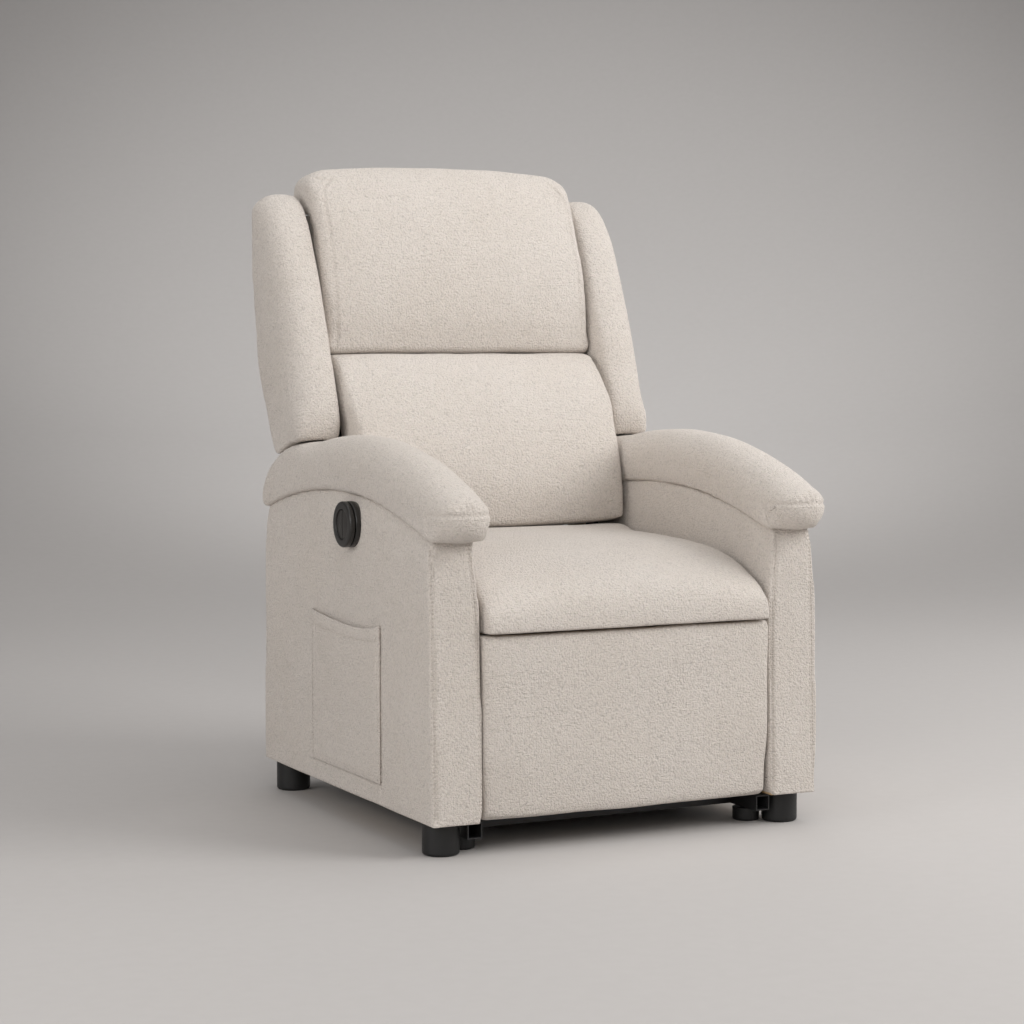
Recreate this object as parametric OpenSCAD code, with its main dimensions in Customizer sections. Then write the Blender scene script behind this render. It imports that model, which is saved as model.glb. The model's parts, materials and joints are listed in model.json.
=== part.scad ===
// Power recliner armchair that lifts and tilts, on a steel floor base.
// Millimetres, +Z up, the front of the chair faces -Y, +X is the sitter's left.
// Outlines are drawn as [depth, height] pairs: depth runs back from the arm fronts,
// and place() moves everything so that the origin is under the middle of the chair.

/* [Overall] */
// Width across the two upholstered side panels
body_w = 684; // [670:2:700]
// Clear width between the side panels
seat_w = 508; // [506:2:514]
// Height of the seat cushion's top
seat_h = 464; // [458:1:470]
// Height of the round feet, which is also the underside of the side panels
foot_h = 51; // [50:1:52]
// Diameter of the round feet
foot_d = 58; // [50:1:64]

/* [Arms] */
// Height of the top of a side panel at the crown of its arch
panel_crown = 540; // [536:1:543]
// Radius of the arch along the top of a side panel
arch_r = 1200; // [1150:10:1250]
// Height of the top of the arm pad
pad_crown = 630; // [622:1:634]
// Width of the arm pad
pad_w = 97; // [92:1:100]

/* [Control] */
// Diameter of the round hand control
control_d = 74; // [70:1:80]
// How far the control stands out of the side panel
control_out = 19.5; // [18:0.5:21]

/* [Mechanism] */
// Side of the square base tube
base_tube = 25; // [24:0.5:26]
// Thickness of the footrest links
link_t = 3.5; // [3:0.1:3.6]
// Radius of the main pivot pins
pin_r = 6; // [5.5:0.1:6.2]
// Radius of the small footrest rivets
rivet_r = 4; // [3.5:0.1:4.5]
// Radial running clearance on a pin
run_fit = 0.05; // [0.02:0.01:0.09]

/* [Hidden] */
$fn = 64;

// Distance from the arm fronts to the middle of the chair's depth
middle_y = 379;
inner_x = seat_w / 2;
outer_x = body_w / 2;
fabric_t = 8;

// Colours
cream = [0.84, 0.80, 0.74];
black = [0.07, 0.07, 0.075];
zinc = [0.66, 0.67, 0.69];
dark_steel = [0.16, 0.16, 0.17];
timber = [0.72, 0.56, 0.38];
webbing_grey = [0.35, 0.34, 0.32];

// Layers from the side panel inwards, as distances from the chair's middle plane
plate_out = inner_x - 2;
plate_in = plate_out - 3;
layer_gap = 1;
board_link_x = plate_in - layer_gap - link_t;
swing_x = board_link_x - layer_gap - link_t;
front_link_x = swing_x - layer_gap - link_t;
rear_link_x = front_link_x - layer_gap - link_t;
rail_out = plate_in - 1;
rail_in = rail_out - 20;
bracket_in = rail_in - 6;
lift_arm_x = bracket_in - 10;
base_bracket_x = lift_arm_x - 10;
guide_x = base_bracket_x - 10;
bar_t = 8;
base_rail_x = inner_x + 4.5;
bolt_r = 4;
stud_down = 20;
board_t = 12;
panel_l = 712;
flange_t = control_out * 0.45;
control_neck_r = 27.5;
control_bore_r = 24;
cross_tube_y = [107.5, 627.5];
glide_points = [[base_rail_x, 80], [175, cross_tube_y[1]]];

// Lift: pivots of the arms, the guide links and the motor
lift_pivot = [120, 75];
lift_end = [420, 110];
guide_pivot = [102.9, 122];
guide_end = [399.3, 187.3];
guide_play = 1.9;
lift_lever = 90;
lift_lug = lift_pivot + lift_lever * [cos(100), sin(100)];
lift_tube_at = lift_lug + [26, 28];
lift_motor_pivot = [640, 75];
lift_motor_x = -40;
lift_eye_play = 5.6;

// Recline: pivot of the back, its lever and its motor
back_pivot = [537, 351];
back_lever = 70;
back_lug = back_pivot + back_lever * [cos(-35), sin(-35)];
back_tube_at = back_pivot + back_lever * [cos(-8), sin(-8)];
back_motor_pivot = [220, 270];
back_motor_x = 90;
back_eye_play = 3.3;
heel_r = 157;
pad_sweep_r = 264.5;
wing_sweep_r = 268;

// Footrest linkage at rest
swing_pivot = [169.4, 268];
knee = [162.2, 85.3];
board_joint = [72, 297.3];
rear_pivot = [219, 310];
bell_joint = [190, 92.7];
guide_top = [98, 325];
guide_low = [186.7, 113.2];
bell_play = 1.8;
guide_top_play = 0.8;
torque_r = 10;

// Motors
eye_r = 17;
eye_w = 10;
small_eye_r = 14;
gear_from = 45;
gear_to = 115;
gear_half = 22;
motor_tube_r = 16;
rod_r = 10;
bore_from = 100;
rod_from = 165;
lift_rest = norm(lift_lug - lift_motor_pivot);
back_rest = norm(back_lug - back_motor_pivot);
lift_tube_len = 430;
back_tube_len = 290;

// Seat
rail_low = 312;
rail_top = 338;
seat_half = inner_x - 3;

// Control and pocket on the sitter's right-hand side panel
control_at = [307, 490];
pocket_y = 198;
pocket_l = 280;
pocket_z = 90;
pocket_h = 248;
pocket_out = 12;
pocket_t = 3;

bolt_points = [[285, 230], [560, 230], [270, 300], [450, 300]];
foot_points = [[305, 52], [305, 667]];

// Moves a drawing from the arm-front datum to the chair's own origin.
module place() { translate([0, -middle_y, 0]) children(); }

// Extrudes a [depth, height] outline from x0 to x1.
module along_x(x0, x1) {
  translate([x0, 0, 0]) rotate([90, 0, 90]) linear_extrude(x1 - x0) children();
}

// Draws a shape and its mirror image on the other side of the chair.
module both_sides() {
  children();
  mirror([1, 0, 0]) children();
}

// A bar outline with round eyes, a touch wider than the bar itself, at two points.
module bar(p, q, w) {
  waist = 0.96 * w;
  translate(p) circle(d = w);
  translate(q) circle(d = w);
  translate(p) rotate(atan2(q.y - p.y, q.x - p.x)) translate([0, -waist / 2]) square([norm(q - p), waist]);
}

// Round holes in an outline: each entry is [point, radius].
module holes(list) {
  for (h = list) translate(h[0]) circle(r = h[1]);
}

// A pin along X with a head at each end.
module pin(p, x0, x1, r) {
  head_r = r + 3;
  head_t = 1.8;
  translate([x0, p.x, p.y]) rotate([0, 90, 0]) {
    cylinder(r = r, h = x1 - x0);
    translate([0, 0, -head_t]) cylinder(r = head_r, h = head_t);
    translate([0, 0, x1 - x0]) cylinder(r = head_r, h = head_t);
  }
}

// A square tube along Y.
module tube_y(x_mid, y0, y1, z0, w, h, wall) {
  difference() {
    translate([x_mid - w / 2, y0, z0]) cube([w, y1 - y0, h]);
    translate([x_mid - w / 2 + wall, y0 - 1, z0 + wall]) cube([w - 2 * wall, y1 - y0 + 2, h - 2 * wall]);
  }
}

// A square tube along X, centred on the chair.
module tube_x(half, y0, z0, w, h, wall) {
  difference() {
    translate([-half, y0, z0]) cube([2 * half, w, h]);
    translate([-half - 1, y0 + wall, z0 + wall]) cube([2 * half + 2, w - 2 * wall, h - 2 * wall]);
  }
}

// A round tube along X, centred on the chair.
module round_tube(p, half, r, wall) {
  translate([-half, p.x, p.y]) rotate([0, 90, 0]) difference() {
    cylinder(r = r, h = 2 * half);
    translate([0, 0, -1]) cylinder(r = r - wall, h = 2 * half + 2);
  }
}

// Puts local +Y on the line from p towards q, at distance x from the middle plane.
module aim(p, q, x) {
  translate([x, p.x, p.y]) rotate([atan2(q.y - p.y, q.x - p.x), 0, 0]) children();
}

// ---- Floor base ----

module base_rails() color(dark_steel) place() both_sides()
  tube_y(base_rail_x, 28, 690, 23, base_tube, base_tube, 2);

module base_cross_tubes() color(dark_steel) place()
  for (y = cross_tube_y) tube_x(base_rail_x - base_tube / 2, y, 23, base_tube, base_tube, 2);

module base_brackets() color(dark_steel) place() {
  deck = 23 + base_tube;
  both_sides() along_x(base_bracket_x, base_bracket_x + bar_t) difference() {
    union() {
      bar(lift_pivot, guide_pivot, 28);
      translate([107.5, deck]) square([25, lift_pivot.y - deck]);
    }
    holes([[lift_pivot, pin_r], [guide_pivot, pin_r]]);
  }
  for (x = [-58, -28]) along_x(x, x + 6) difference() {
    union() {
      translate(lift_motor_pivot) circle(r = small_eye_r);
      translate([lift_motor_pivot.x - 12.5, deck]) square([25, lift_motor_pivot.y - deck]);
    }
    holes([[lift_motor_pivot, pin_r]]);
  }
}

module base_glides() color(black) place() both_sides() for (p = glide_points)
  translate([p.x, p.y, 0]) rotate_extrude() {
    translate([0, 0]) square([18, 4]);
    translate([18, 4]) circle(r = 4);
    translate([0, 4]) square([22, 17]);
    translate([0, 21]) square([8, 2]);
  }

module base_pins() color(zinc) place() {
  both_sides() {
    pin(lift_pivot, base_bracket_x, lift_arm_x + bar_t, pin_r);
    pin(guide_pivot, guide_x, base_bracket_x + bar_t, pin_r);
  }
  pin(lift_motor_pivot, lift_motor_x - 18, lift_motor_x + 18, pin_r);
}

// ---- Lift linkage ----

module lift_arms() color(dark_steel) place() both_sides()
  along_x(lift_arm_x, lift_arm_x + bar_t) difference() {
    union() {
      bar(lift_pivot, lift_end, 40);
      bar(lift_pivot, lift_tube_at, 32);
    }
    holes([[lift_pivot, pin_r + run_fit], [lift_end, pin_r + run_fit]]);
  }

module lift_cross_tube() color(dark_steel) place() {
  difference() {
    union() {
      translate([-lift_arm_x, lift_tube_at.x, lift_tube_at.y]) rotate([0, 90, 0])
        cylinder(r = 12.7, h = 2 * lift_arm_x);
      for (x = [-52, -34]) along_x(x, x + 6) bar(lift_tube_at, lift_lug, 26);
    }
    translate([-lift_arm_x - 1, lift_tube_at.x, lift_tube_at.y]) rotate([0, 90, 0])
      cylinder(r = 10, h = 2 * lift_arm_x + 2);
  }
  pin(lift_lug, -52, -28, pin_r);
}

module guide_links() color(zinc) place() both_sides()
  along_x(guide_x, guide_x + bar_t) difference() {
    bar(guide_pivot, guide_end, 26);
    holes([[guide_pivot, pin_r + run_fit], [guide_end, pin_r + guide_play]]);
  }

// ---- Motors ----

// Fixed half of a linear motor: eye, gearbox, motor can and hollow outer tube.
module motor_body(tube_len, can_side) {
  lug_h = 22;
  can_offset = 34;
  can_r = 19;
  can_len = 118;
  difference() {
    union() {
      translate([-eye_w / 2, 0, 0]) rotate([0, 90, 0]) cylinder(r = small_eye_r, h = eye_w);
      translate([-eye_w / 2, 0, -lug_h / 2]) cube([eye_w, gear_from + 1, lug_h]);
      translate([-gear_half, gear_from, -gear_half])
        cube([2 * gear_half, gear_to - gear_from, 2 * gear_half]);
      translate([can_side * can_offset, gear_from + 6, 0]) rotate([-90, 0, 0])
        cylinder(r = can_r, h = can_len);
      translate([0, gear_to - 1, 0]) rotate([-90, 0, 0])
        cylinder(r = motor_tube_r, h = tube_len - gear_to + 1);
    }
    translate([-eye_w, 0, 0]) rotate([0, 90, 0]) cylinder(r = pin_r + run_fit, h = 2 * eye_w);
    translate([0, bore_from, 0]) rotate([-90, 0, 0]) cylinder(r = rod_r + run_fit, h = tube_len);
  }
}

// Moving half: push rod with an eye, whose hole is wide where the linkage is left open.
module motor_rod(length, play) {
  neck = 40;
  difference() {
    union() {
      translate([0, rod_from, 0]) rotate([-90, 0, 0]) cylinder(r = rod_r, h = length - rod_from - neck);
      translate([-eye_w / 2, length - neck - 2, -8]) cube([eye_w, neck, 16]);
      translate([-eye_w / 2, length, 0]) rotate([0, 90, 0]) cylinder(r = eye_r, h = eye_w);
    }
    translate([-eye_w, length, 0]) rotate([0, 90, 0]) cylinder(r = pin_r + play, h = 2 * eye_w);
  }
}

module lift_motor() color(black) place() aim(lift_motor_pivot, lift_lug, lift_motor_x)
  motor_body(lift_tube_len, -1);

module lift_rod() color(zinc) place() aim(lift_motor_pivot, lift_lug, lift_motor_x)
  motor_rod(lift_rest, lift_eye_play);

module back_motor() color(black) place() aim(back_motor_pivot, back_lug, back_motor_x)
  motor_body(back_tube_len, 1);

module back_rod() color(zinc) place() aim(back_motor_pivot, back_lug, back_motor_x)
  motor_rod(back_rest, back_eye_play);

// ---- Carriage: the steel frame that carries the seat, the back and the footrest ----

module carriage_rails() color(dark_steel) place() both_sides()
  tube_y((rail_in + rail_out) / 2, 240, 620, 130, rail_out - rail_in, 30, 2);

module carriage_brackets() color(dark_steel) place() both_sides()
  along_x(bracket_in, rail_in) difference() {
    union() {
      bar(lift_end, guide_end, 36);
      translate([385, 128]) square([90, 32]);
    }
    holes([[lift_end, pin_r], [guide_end, pin_r]]);
  }

module carriage_cross_tubes() color(dark_steel) place() {
  tube_x(rail_in, 590, 131, 28, 28, 2);
  tube_x(plate_in, 240, 220, 28, 28, 2);
  for (x = [-12, 6]) along_x(back_motor_x + x, back_motor_x + x + 6) difference() {
    union() {
      bar(back_motor_pivot, [252, 252], 24);
      translate([240, 240]) square([24, 12]);
    }
    holes([[back_motor_pivot, pin_r]]);
    translate([239, 219]) square([30, 29]);
  }
}

module mechanism_plates() color(dark_steel) place() both_sides()
  along_x(plate_in, plate_out) difference() {
    union() {
      polygon([
        [155, 252], [152, 285], [205, 333], [500, 333], [516, 362], [556, 362],
        [566, 330], [620, 165], [620, 125], [240, 125], [228, 240]
      ]);
      for (p = [swing_pivot, rear_pivot, back_pivot]) translate(p) circle(r = 22);
    }
    holes([[swing_pivot, pin_r], [rear_pivot, pin_r], [back_pivot, pin_r]]);
    for (p = bolt_points) translate(p) circle(r = 4);
  }

module carriage_pins() color(zinc) place() {
  both_sides() {
    pin(lift_end, lift_arm_x, rail_in, pin_r);
    pin(guide_end, guide_x, rail_in, pin_r);
    for (p = [[swing_pivot, swing_x], [rear_pivot, rear_link_x]])
      translate([p[1], p[0].x, p[0].y]) rotate([0, 90, 0]) {
        cylinder(r = pin_r, h = plate_out - p[1]);
        translate([0, 0, -2]) cylinder(r = pin_r + 1, h = 2);
      }
    translate([plate_in - 10, back_pivot.x, back_pivot.y]) rotate([0, 90, 0]) {
      cylinder(r = pin_r, h = plate_out - plate_in + 10);
      translate([0, 0, -2.5]) cylinder(r = pin_r + 3, h = 2.5);
    }
  }
  pin(back_motor_pivot, back_motor_x - 12, back_motor_x + 12, pin_r);
}

// Bolts that hold the mechanism to the side frames, and the threaded studs of the feet.
module frame_bolts() color(zinc) place() both_sides() {
  for (p = bolt_points) translate([plate_in - 3.5, p.x, p.y]) rotate([0, 90, 0]) {
    cylinder(r = 7, h = 3.5);
    cylinder(r = bolt_r, h = 3.5 + 3 + 2 + fabric_t + board_t);
  }
  for (p = foot_points) translate([p.x, p.y, foot_h - stud_down]) cylinder(r = bolt_r, h = 50);
}

// ---- Seat ----

// Timber cross rails. The rear one is notched for the motor tube under it.
module seat_cross_rails() color(timber) place() difference() {
  for (y = [118, 470]) translate([-(swing_x - 10), y, rail_low])
    cube([2 * (swing_x - 10), 28, rail_top - rail_low]);
  translate([back_motor_x - 24, 460, rail_low - 1]) cube([48, 50, 9]);
}

// Timber side rails, notched for the torque tube of the footrest.
module seat_side_rails() color(timber) place() both_sides() difference() {
  translate([200, 146, rail_low]) cube([25, 324, rail_top - rail_low]);
  translate([190, rear_pivot.x - 14, rail_low - 1]) cube([45, 28, 12]);
}

module seat_deck() color(timber) place()
  translate([-238, 12, rail_top]) cube([476, 126, 10]);

// One zigzag spring lying flat, made of half rings joined by short straights.
module zigzag(pitch, turns, reach, wire) {
  ring_r = pitch / 2;
  for (i = [0 : turns - 1]) {
    side = i % 2 == 0 ? 1 : -1;
    translate([side * reach, (i + 0.5) * pitch]) difference() {
      circle(r = ring_r + wire / 2);
      circle(r = ring_r - wire / 2);
      translate([side > 0 ? -2 * ring_r : 0, -2 * ring_r]) square([2 * ring_r, 4 * ring_r]);
    }
  }
  for (i = [0 : turns]) translate([-reach, i * pitch - wire / 2]) square([2 * reach, wire]);
}

module seat_springs() color(zinc) place() for (x = [-160, -80, 0, 80, 160])
  translate([x, 143, rail_top]) linear_extrude(3.5) zigzag(19, 18, 14, 3.5);

// The seat cushion, with its deep rounded nose and a rebate for the deck board.
module seat_cushion() color(cream) place() along_x(-seat_half, seat_half) difference() {
  polygon([
    [-5, 340], [-3, 370], [3, 390], [14, 403], [29, 415], [85, 440], [130, seat_h - 10],
    [180, seat_h - 3], [240, seat_h], [500, seat_h], [505, seat_h - 8], [505, 344], [0, 339]
  ]);
  translate([11, 330]) square([130, 18.5]);
  translate([140, 330]) square([380, 12]);
}

// ---- Side panels and arm pads ----

// Side panel outline, drawn smaller by "inset" all round except at the bottom.
module panel_outline(inset) {
  intersection() {
    translate([380, panel_crown - arch_r]) circle(r = arch_r - inset, $fn = 180);
    polygon([[inset, foot_h], [17 + inset, 600], [panel_l - 12 - inset, 600], [panel_l - inset, foot_h]]);
  }
}

// Timber frame inside each arm: two boards on posts and rails. The inner board stops short of
// the front edge, where the cover curves in.
module side_frame() {
  x0 = inner_x + fabric_t;
  x1 = outer_x - fabric_t;
  along_x(x0, x0 + board_t) difference() {
    panel_outline(fabric_t);
    translate([0, 300]) square([64, 300]);
  }
  along_x(x1 - board_t, x1) panel_outline(fabric_t);
  along_x(x0 + board_t - 1, x1 - board_t + 1) intersection() {
    panel_outline(fabric_t);
    union() {
      translate([0, foot_h]) square([panel_l, 45]);
      translate([0, foot_h]) square([70, 500]);
      translate([640, foot_h]) square([80, 500]);
      translate([200, 440]) square([40, 120]);
      translate([400, 440]) square([40, 120]);
    }
  }
}

module side_frames() color(timber) place() difference() {
  both_sides() difference() {
    side_frame();
    for (p = bolt_points) translate([inner_x, p.x, p.y]) rotate([0, 90, 0])
      cylinder(r = bolt_r, h = 30);
    for (p = foot_points) translate([p.x, p.y, foot_h - 1]) cylinder(r = bolt_r, h = 31);
  }
  translate([-outer_x, control_at.x, control_at.y]) rotate([0, 90, 0])
    cylinder(r = control_neck_r + 0.5, h = 40);
}

// Padded fabric cover over the frame, open underneath.
module side_cover() {
  difference() {
    along_x(inner_x, outer_x) panel_outline(0);
    along_x(inner_x + fabric_t, outer_x - fabric_t) {
      panel_outline(fabric_t);
      translate([fabric_t, foot_h - 10]) square([panel_l - 2 * fabric_t, 12]);
    }
    for (p = bolt_points) translate([inner_x - 1, p.x, p.y]) rotate([0, 90, 0])
      cylinder(r = bolt_r, h = 12);
  }
}

module left_side_cover() color(cream) place() difference() {
  mirror([1, 0, 0]) side_cover();
  translate([-outer_x - 1, control_at.x, control_at.y]) rotate([0, 90, 0])
    cylinder(r = control_neck_r + 0.5, h = 20);
}

module right_side_cover() color(cream) place() side_cover();

// Arm pad outline: an arch that hugs the panel, with a drooping round nose at the front
// and a rear edge that leaves room for the wings to swing over it.
module pad_outline() {
  nose_r = 36;
  pad_r = 900;
  difference() {
    union() {
      intersection() {
        translate([345, pad_crown - pad_r]) circle(r = pad_r, $fn = 180);
        polygon([[-12, 440], [-12, 700], [717, 700], [717, 440]]);
        union() {
          translate(back_pivot) circle(r = pad_sweep_r, $fn = 120);
          translate([-100, 300]) square([637, 400]);
        }
      }
      translate([-12, 517]) circle(r = nose_r);
    }
    translate([380, panel_crown - arch_r]) circle(r = arch_r + 0.4, $fn = 180);
    translate([-100, 300]) square([900, 181]);
  }
}

module arm_pad() { along_x(outer_x + 4 - pad_w, outer_x + 4) pad_outline(); }

module left_arm_pad() color(cream) place() mirror([1, 0, 0]) arm_pad();

module right_arm_pad() color(cream) place() arm_pad();

// Flat patch pocket: a shallow tray of fabric sewn to the side panel, open at the top.
module side_pocket() color(cream) place() difference() {
  translate([-outer_x - pocket_out, pocket_y, pocket_z]) cube([pocket_out, pocket_l, pocket_h]);
  translate([-outer_x - pocket_out + pocket_t, pocket_y + 5, pocket_z + 5])
    cube([pocket_out, pocket_l - 10, pocket_h]);
}

module round_feet() color(black) place() both_sides() for (p = foot_points)
  translate([p.x, p.y, 0]) difference() {
    rotate_extrude() {
      edge = 5;
      translate([foot_d / 2 - edge, edge]) circle(r = edge);
      square([foot_d / 2 - edge, foot_h]);
      translate([0, edge]) square([foot_d / 2, foot_h - edge]);
    }
    translate([0, 0, foot_h - stud_down]) cylinder(r = bolt_r, h = 30);
  }

// Low panel across the rear, with a hole for the power socket.
module rear_panel() color(cream) place() difference() {
  translate([-inner_x + 2, 698, foot_h]) cube([2 * inner_x - 4, 14, 239]);
  translate([100, 690, 84]) cube([40, 30, 32]);
}

// ---- Hand control ----

module at_control(out) {
  translate([-outer_x - out, control_at.x, control_at.y]) rotate([0, 90, 0]) children();
}

module switch_housing() color(black) place() difference() {
  union() {
    at_control(flange_t) cylinder(d = control_d, h = flange_t);
    at_control(control_out * 0.55) cylinder(d = control_d - 9, h = 5);
    at_control(0) cylinder(r = control_neck_r, h = 26);
  }
  at_control(flange_t) cylinder(r = control_bore_r, h = 32);
  at_control(control_out) cylinder(r = control_bore_r, h = 20);
}

module switch_bezel() color(black) place() difference() {
  at_control(control_out) cylinder(d = control_d, h = flange_t);
  at_control(control_out + 1) cylinder(r = control_bore_r, h = 20);
}

// Half-moon push button: the two halves meet at an upright line.
module half_button(side) {
  intersection() {
    at_control(control_out - 2) {
      cylinder(r = control_bore_r - 0.5, h = 6);
      translate([0, side * 10, 5]) cylinder(r = 4, h = 12);
    }
    translate([-outer_x - 40, side > 0 ? control_at.x + 0.4 : control_at.x - 30.4, control_at.y - 40])
      cube([80, 30, 80]);
  }
}

module front_button() color([0.11, 0.11, 0.115]) place() half_button(-1);

module rear_button() color([0.11, 0.11, 0.115]) place() half_button(1);

// ---- Power ----

module control_box() color(black) place() difference() {
  translate([40, 652, 140]) cube([150, 45, 62]);
  for (x = [62, 168]) translate([x, 660, 130]) cylinder(r = 3, h = 20);
}

// Socket for the supply lead: a flanged block with a recess.
module power_inlet() color(black) place() difference() {
  union() {
    translate([96, 712, 80]) cube([48, 3, 40]);
    translate([101, 684, 85]) cube([38, 28, 30]);
  }
  translate([106, 692, 90]) cube([28, 30, 20]);
}

// ---- Back ----

// Centre line of the back frame's uprights
upright_low = [618, 465];
upright_top = [727, 972];

module recline_brackets() color(dark_steel) place() both_sides()
  along_x(plate_in - 9, plate_in - 3) difference() {
    union() {
      bar(back_pivot, [604, 480], 44);
      bar(back_pivot, back_tube_at, 34);
    }
    holes([[back_pivot, pin_r + run_fit]]);
  }

module recline_tube() color(dark_steel) place() {
  difference() {
    union() {
      translate([-plate_in + 9, back_tube_at.x, back_tube_at.y]) rotate([0, 90, 0])
        cylinder(r = 11, h = 2 * (plate_in - 9));
      for (x = [-12, 6]) along_x(back_motor_x + x, back_motor_x + x + 6) bar(back_tube_at, back_lug, 24);
    }
    translate([-plate_in, back_tube_at.x, back_tube_at.y]) rotate([0, 90, 0])
      cylinder(r = 8.5, h = 2 * plate_in);
  }
  pin(back_lug, back_motor_x - 12, back_motor_x + 12, pin_r);
}

module back_uprights() color(timber) place() both_sides()
  along_x(plate_in - 34, plate_in - 9) bar(upright_low, upright_top, 40);

module back_cross_rails() color(timber) place() {
  half = plate_in - 34;
  for (t = [0.03, 0.5, 0.97]) {
    c = upright_low + t * (upright_top - upright_low);
    translate([-half, c.x - 10, c.y - 20]) cube([2 * half, 20, 40]);
  }
}

// Elastic webbing across the front of the uprights.
module back_webbing() color(webbing_grey) place() {
  span = upright_top - upright_low;
  lean = atan2(span.y, span.x);
  for (t = [0.08, 0.28, 0.48, 0.68, 0.88]) {
    c = upright_low + t * span;
    along_x(-238, 238) translate(c) rotate(lean) translate([-25, 20.2]) square([50, 2.5]);
  }
}

module lumbar_cushion() color(cream) place() along_x(-(inner_x - 7), inner_x - 7)
  polygon([
    [462, 467], [458, 500], [465, 545], [480, 607], [500, 655], [530, 700], [566, 735],
    [606, 757], [648, 757], [566, 467]
  ]);

module head_cushion() color(cream) place() along_x(-(inner_x - 1), inner_x - 1)
  polygon([
    [608, 761], [604, 800], [610, 860], [622, 915], [634, 950], [655, 1008], [680, 1052],
    [698, 1076], [722, 1090], [750, 1084], [772, 1060], [782, 1025], [784, 1008],
    [704, 1004], [650, 761]
  ]);

// Side wing: a tall shield whose foot is hollowed to swing over the arm pad.
module wing() {
  along_x(inner_x + 7, outer_x + 1) difference() {
    polygon([
      [541, 600], [541, 640], [546, 674], [571, 747], [609, 855], [658, 965], [690, 1008],
      [715, 1032], [738, 1043], [762, 1038], [780, 1015], [784, 985], [779, 853], [752, 700],
      [728, 620], [718, 545], [640, 545]
    ]);
    translate(back_pivot) circle(r = wing_sweep_r, $fn = 120);
  }
}

module left_wing() color(cream) place() mirror([1, 0, 0]) wing();

module right_wing() color(cream) place() wing();

module back_panel() color(cream) place() along_x(-(inner_x + 5), inner_x + 5)
  polygon([
    [736, 462], [750, 462], [792, 760], [805, 900], [806, 1003], [788, 1003], [789, 900], [777, 760]
  ]);

// Curved underside of the back, centred on the recline pivot, and the ledge above it.
module back_heel() color(cream) place() along_x(-(plate_in - 11), plate_in - 11) {
  difference() {
    translate(back_pivot) circle(r = heel_r);
    translate(back_pivot) circle(r = heel_r - 7);
    translate(back_pivot) rotate(28) translate([-400, 0]) square([800, 400]);
    translate(back_pivot) rotate(-50) translate([-400, -400]) square([800, 400]);
  }
  polygon([[669, 421], [676, 424], [735, 461], [735, 469], [730, 469], [668, 428]]);
}

// Upright boards that close the sides of the back between cushion and rear panel.
module back_side_panels() color(cream) place() both_sides()
  along_x(plate_in - 8, plate_in - 2)
    polygon([[583, 510], [741, 510], [774, 760], [786, 900], [786, 1001], [709, 1001], [656, 762]]);

// ---- Footrest ----

module swing_links() color(zinc) place() both_sides()
  along_x(swing_x, swing_x + link_t) difference() {
    union() {
      bar(swing_pivot, guide_low, 26);
      bar(guide_low, knee, 24);
      bar(swing_pivot, knee, 24);
    }
    holes([[swing_pivot, pin_r + run_fit], [guide_low, rivet_r], [knee, rivet_r]]);
  }

module knee_rivets() color(zinc) place() both_sides() {
  translate([front_link_x, knee.x, knee.y]) rotate([0, 90, 0]) {
    cylinder(r = rivet_r, h = swing_x + link_t - front_link_x);
    translate([0, 0, -0.6]) cylinder(r = rivet_r + 2.5, h = 0.6);
  }
  translate([swing_x, guide_low.x, guide_low.y]) rotate([0, 90, 0]) {
    cylinder(r = rivet_r, h = board_link_x + link_t - swing_x);
    translate([0, 0, board_link_x + link_t - swing_x]) cylinder(r = rivet_r + 2.5, h = 0.6);
  }
}

module front_links() color(zinc) place() both_sides()
  along_x(front_link_x, front_link_x + link_t) difference() {
    union() {
      bar(knee, board_joint, 22);
      bar(knee, bell_joint, 22);
    }
    holes([[knee, rivet_r + run_fit], [board_joint, rivet_r + run_fit], [bell_joint, rivet_r]]);
  }

module bell_rivets() color(zinc) place() both_sides()
  translate([rear_link_x, bell_joint.x, bell_joint.y]) rotate([0, 90, 0]) {
    cylinder(r = rivet_r, h = front_link_x + link_t - rear_link_x);
    translate([0, 0, -0.6]) cylinder(r = rivet_r + 3.5, h = 0.6);
  }

module rear_links() color(zinc) place() both_sides()
  along_x(rear_link_x, rear_link_x + link_t) difference() {
    bar(rear_pivot, bell_joint, 24);
    holes([[rear_pivot, pin_r + run_fit], [bell_joint, rivet_r + bell_play]]);
  }

module torque_tube() color(dark_steel) place()
  round_tube(rear_pivot, rear_link_x, torque_r, 2);

module board_links() color(zinc) place() both_sides()
  along_x(board_link_x, board_link_x + link_t) difference() {
    bar(guide_low, guide_top, 22);
    holes([[guide_low, rivet_r + run_fit], [guide_top, rivet_r + guide_top_play]]);
  }

// Steel plate that hangs the board on its two pivots, with their welded studs.
module footrest_brackets() color(dark_steel) place() both_sides() {
  along_x(swing_x, swing_x + link_t) difference() {
    union() {
      bar(board_joint, guide_top, 22);
      translate([60, 90]) square([16, 240]);
    }
    holes([[board_joint, rivet_r], [guide_top, rivet_r]]);
  }
  translate([front_link_x, board_joint.x, board_joint.y]) rotate([0, 90, 0])
    cylinder(r = rivet_r, h = swing_x + link_t - front_link_x);
  translate([swing_x, guide_top.x, guide_top.y]) rotate([0, 90, 0])
    cylinder(r = rivet_r, h = board_link_x + link_t - swing_x);
  difference() {
    translate([swing_x - 20, 60, 90]) cube([20.5, 3, 240]);
    translate([swing_x - 21, 59, board_joint.y - 14]) cube([20, 5, 28]);
  }
}

module footrest_board() color(timber) place()
  translate([-(seat_half - 3), 45, 58]) cube([2 * (seat_half - 3), 15, 272]);

module footrest_pad() color(cream) place() along_x(-seat_half, seat_half)
  polygon([
    [10, foot_h], [4, foot_h + 5], [1, foot_h + 16], [0, 120], [0, 270], [1, 318], [5, 329],
    [12, 334.5], [60, 334.5], [60, 330.5], [45, 330.5], [45, 57.5], [60, 57.5], [60, foot_h]
  ]);

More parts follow.
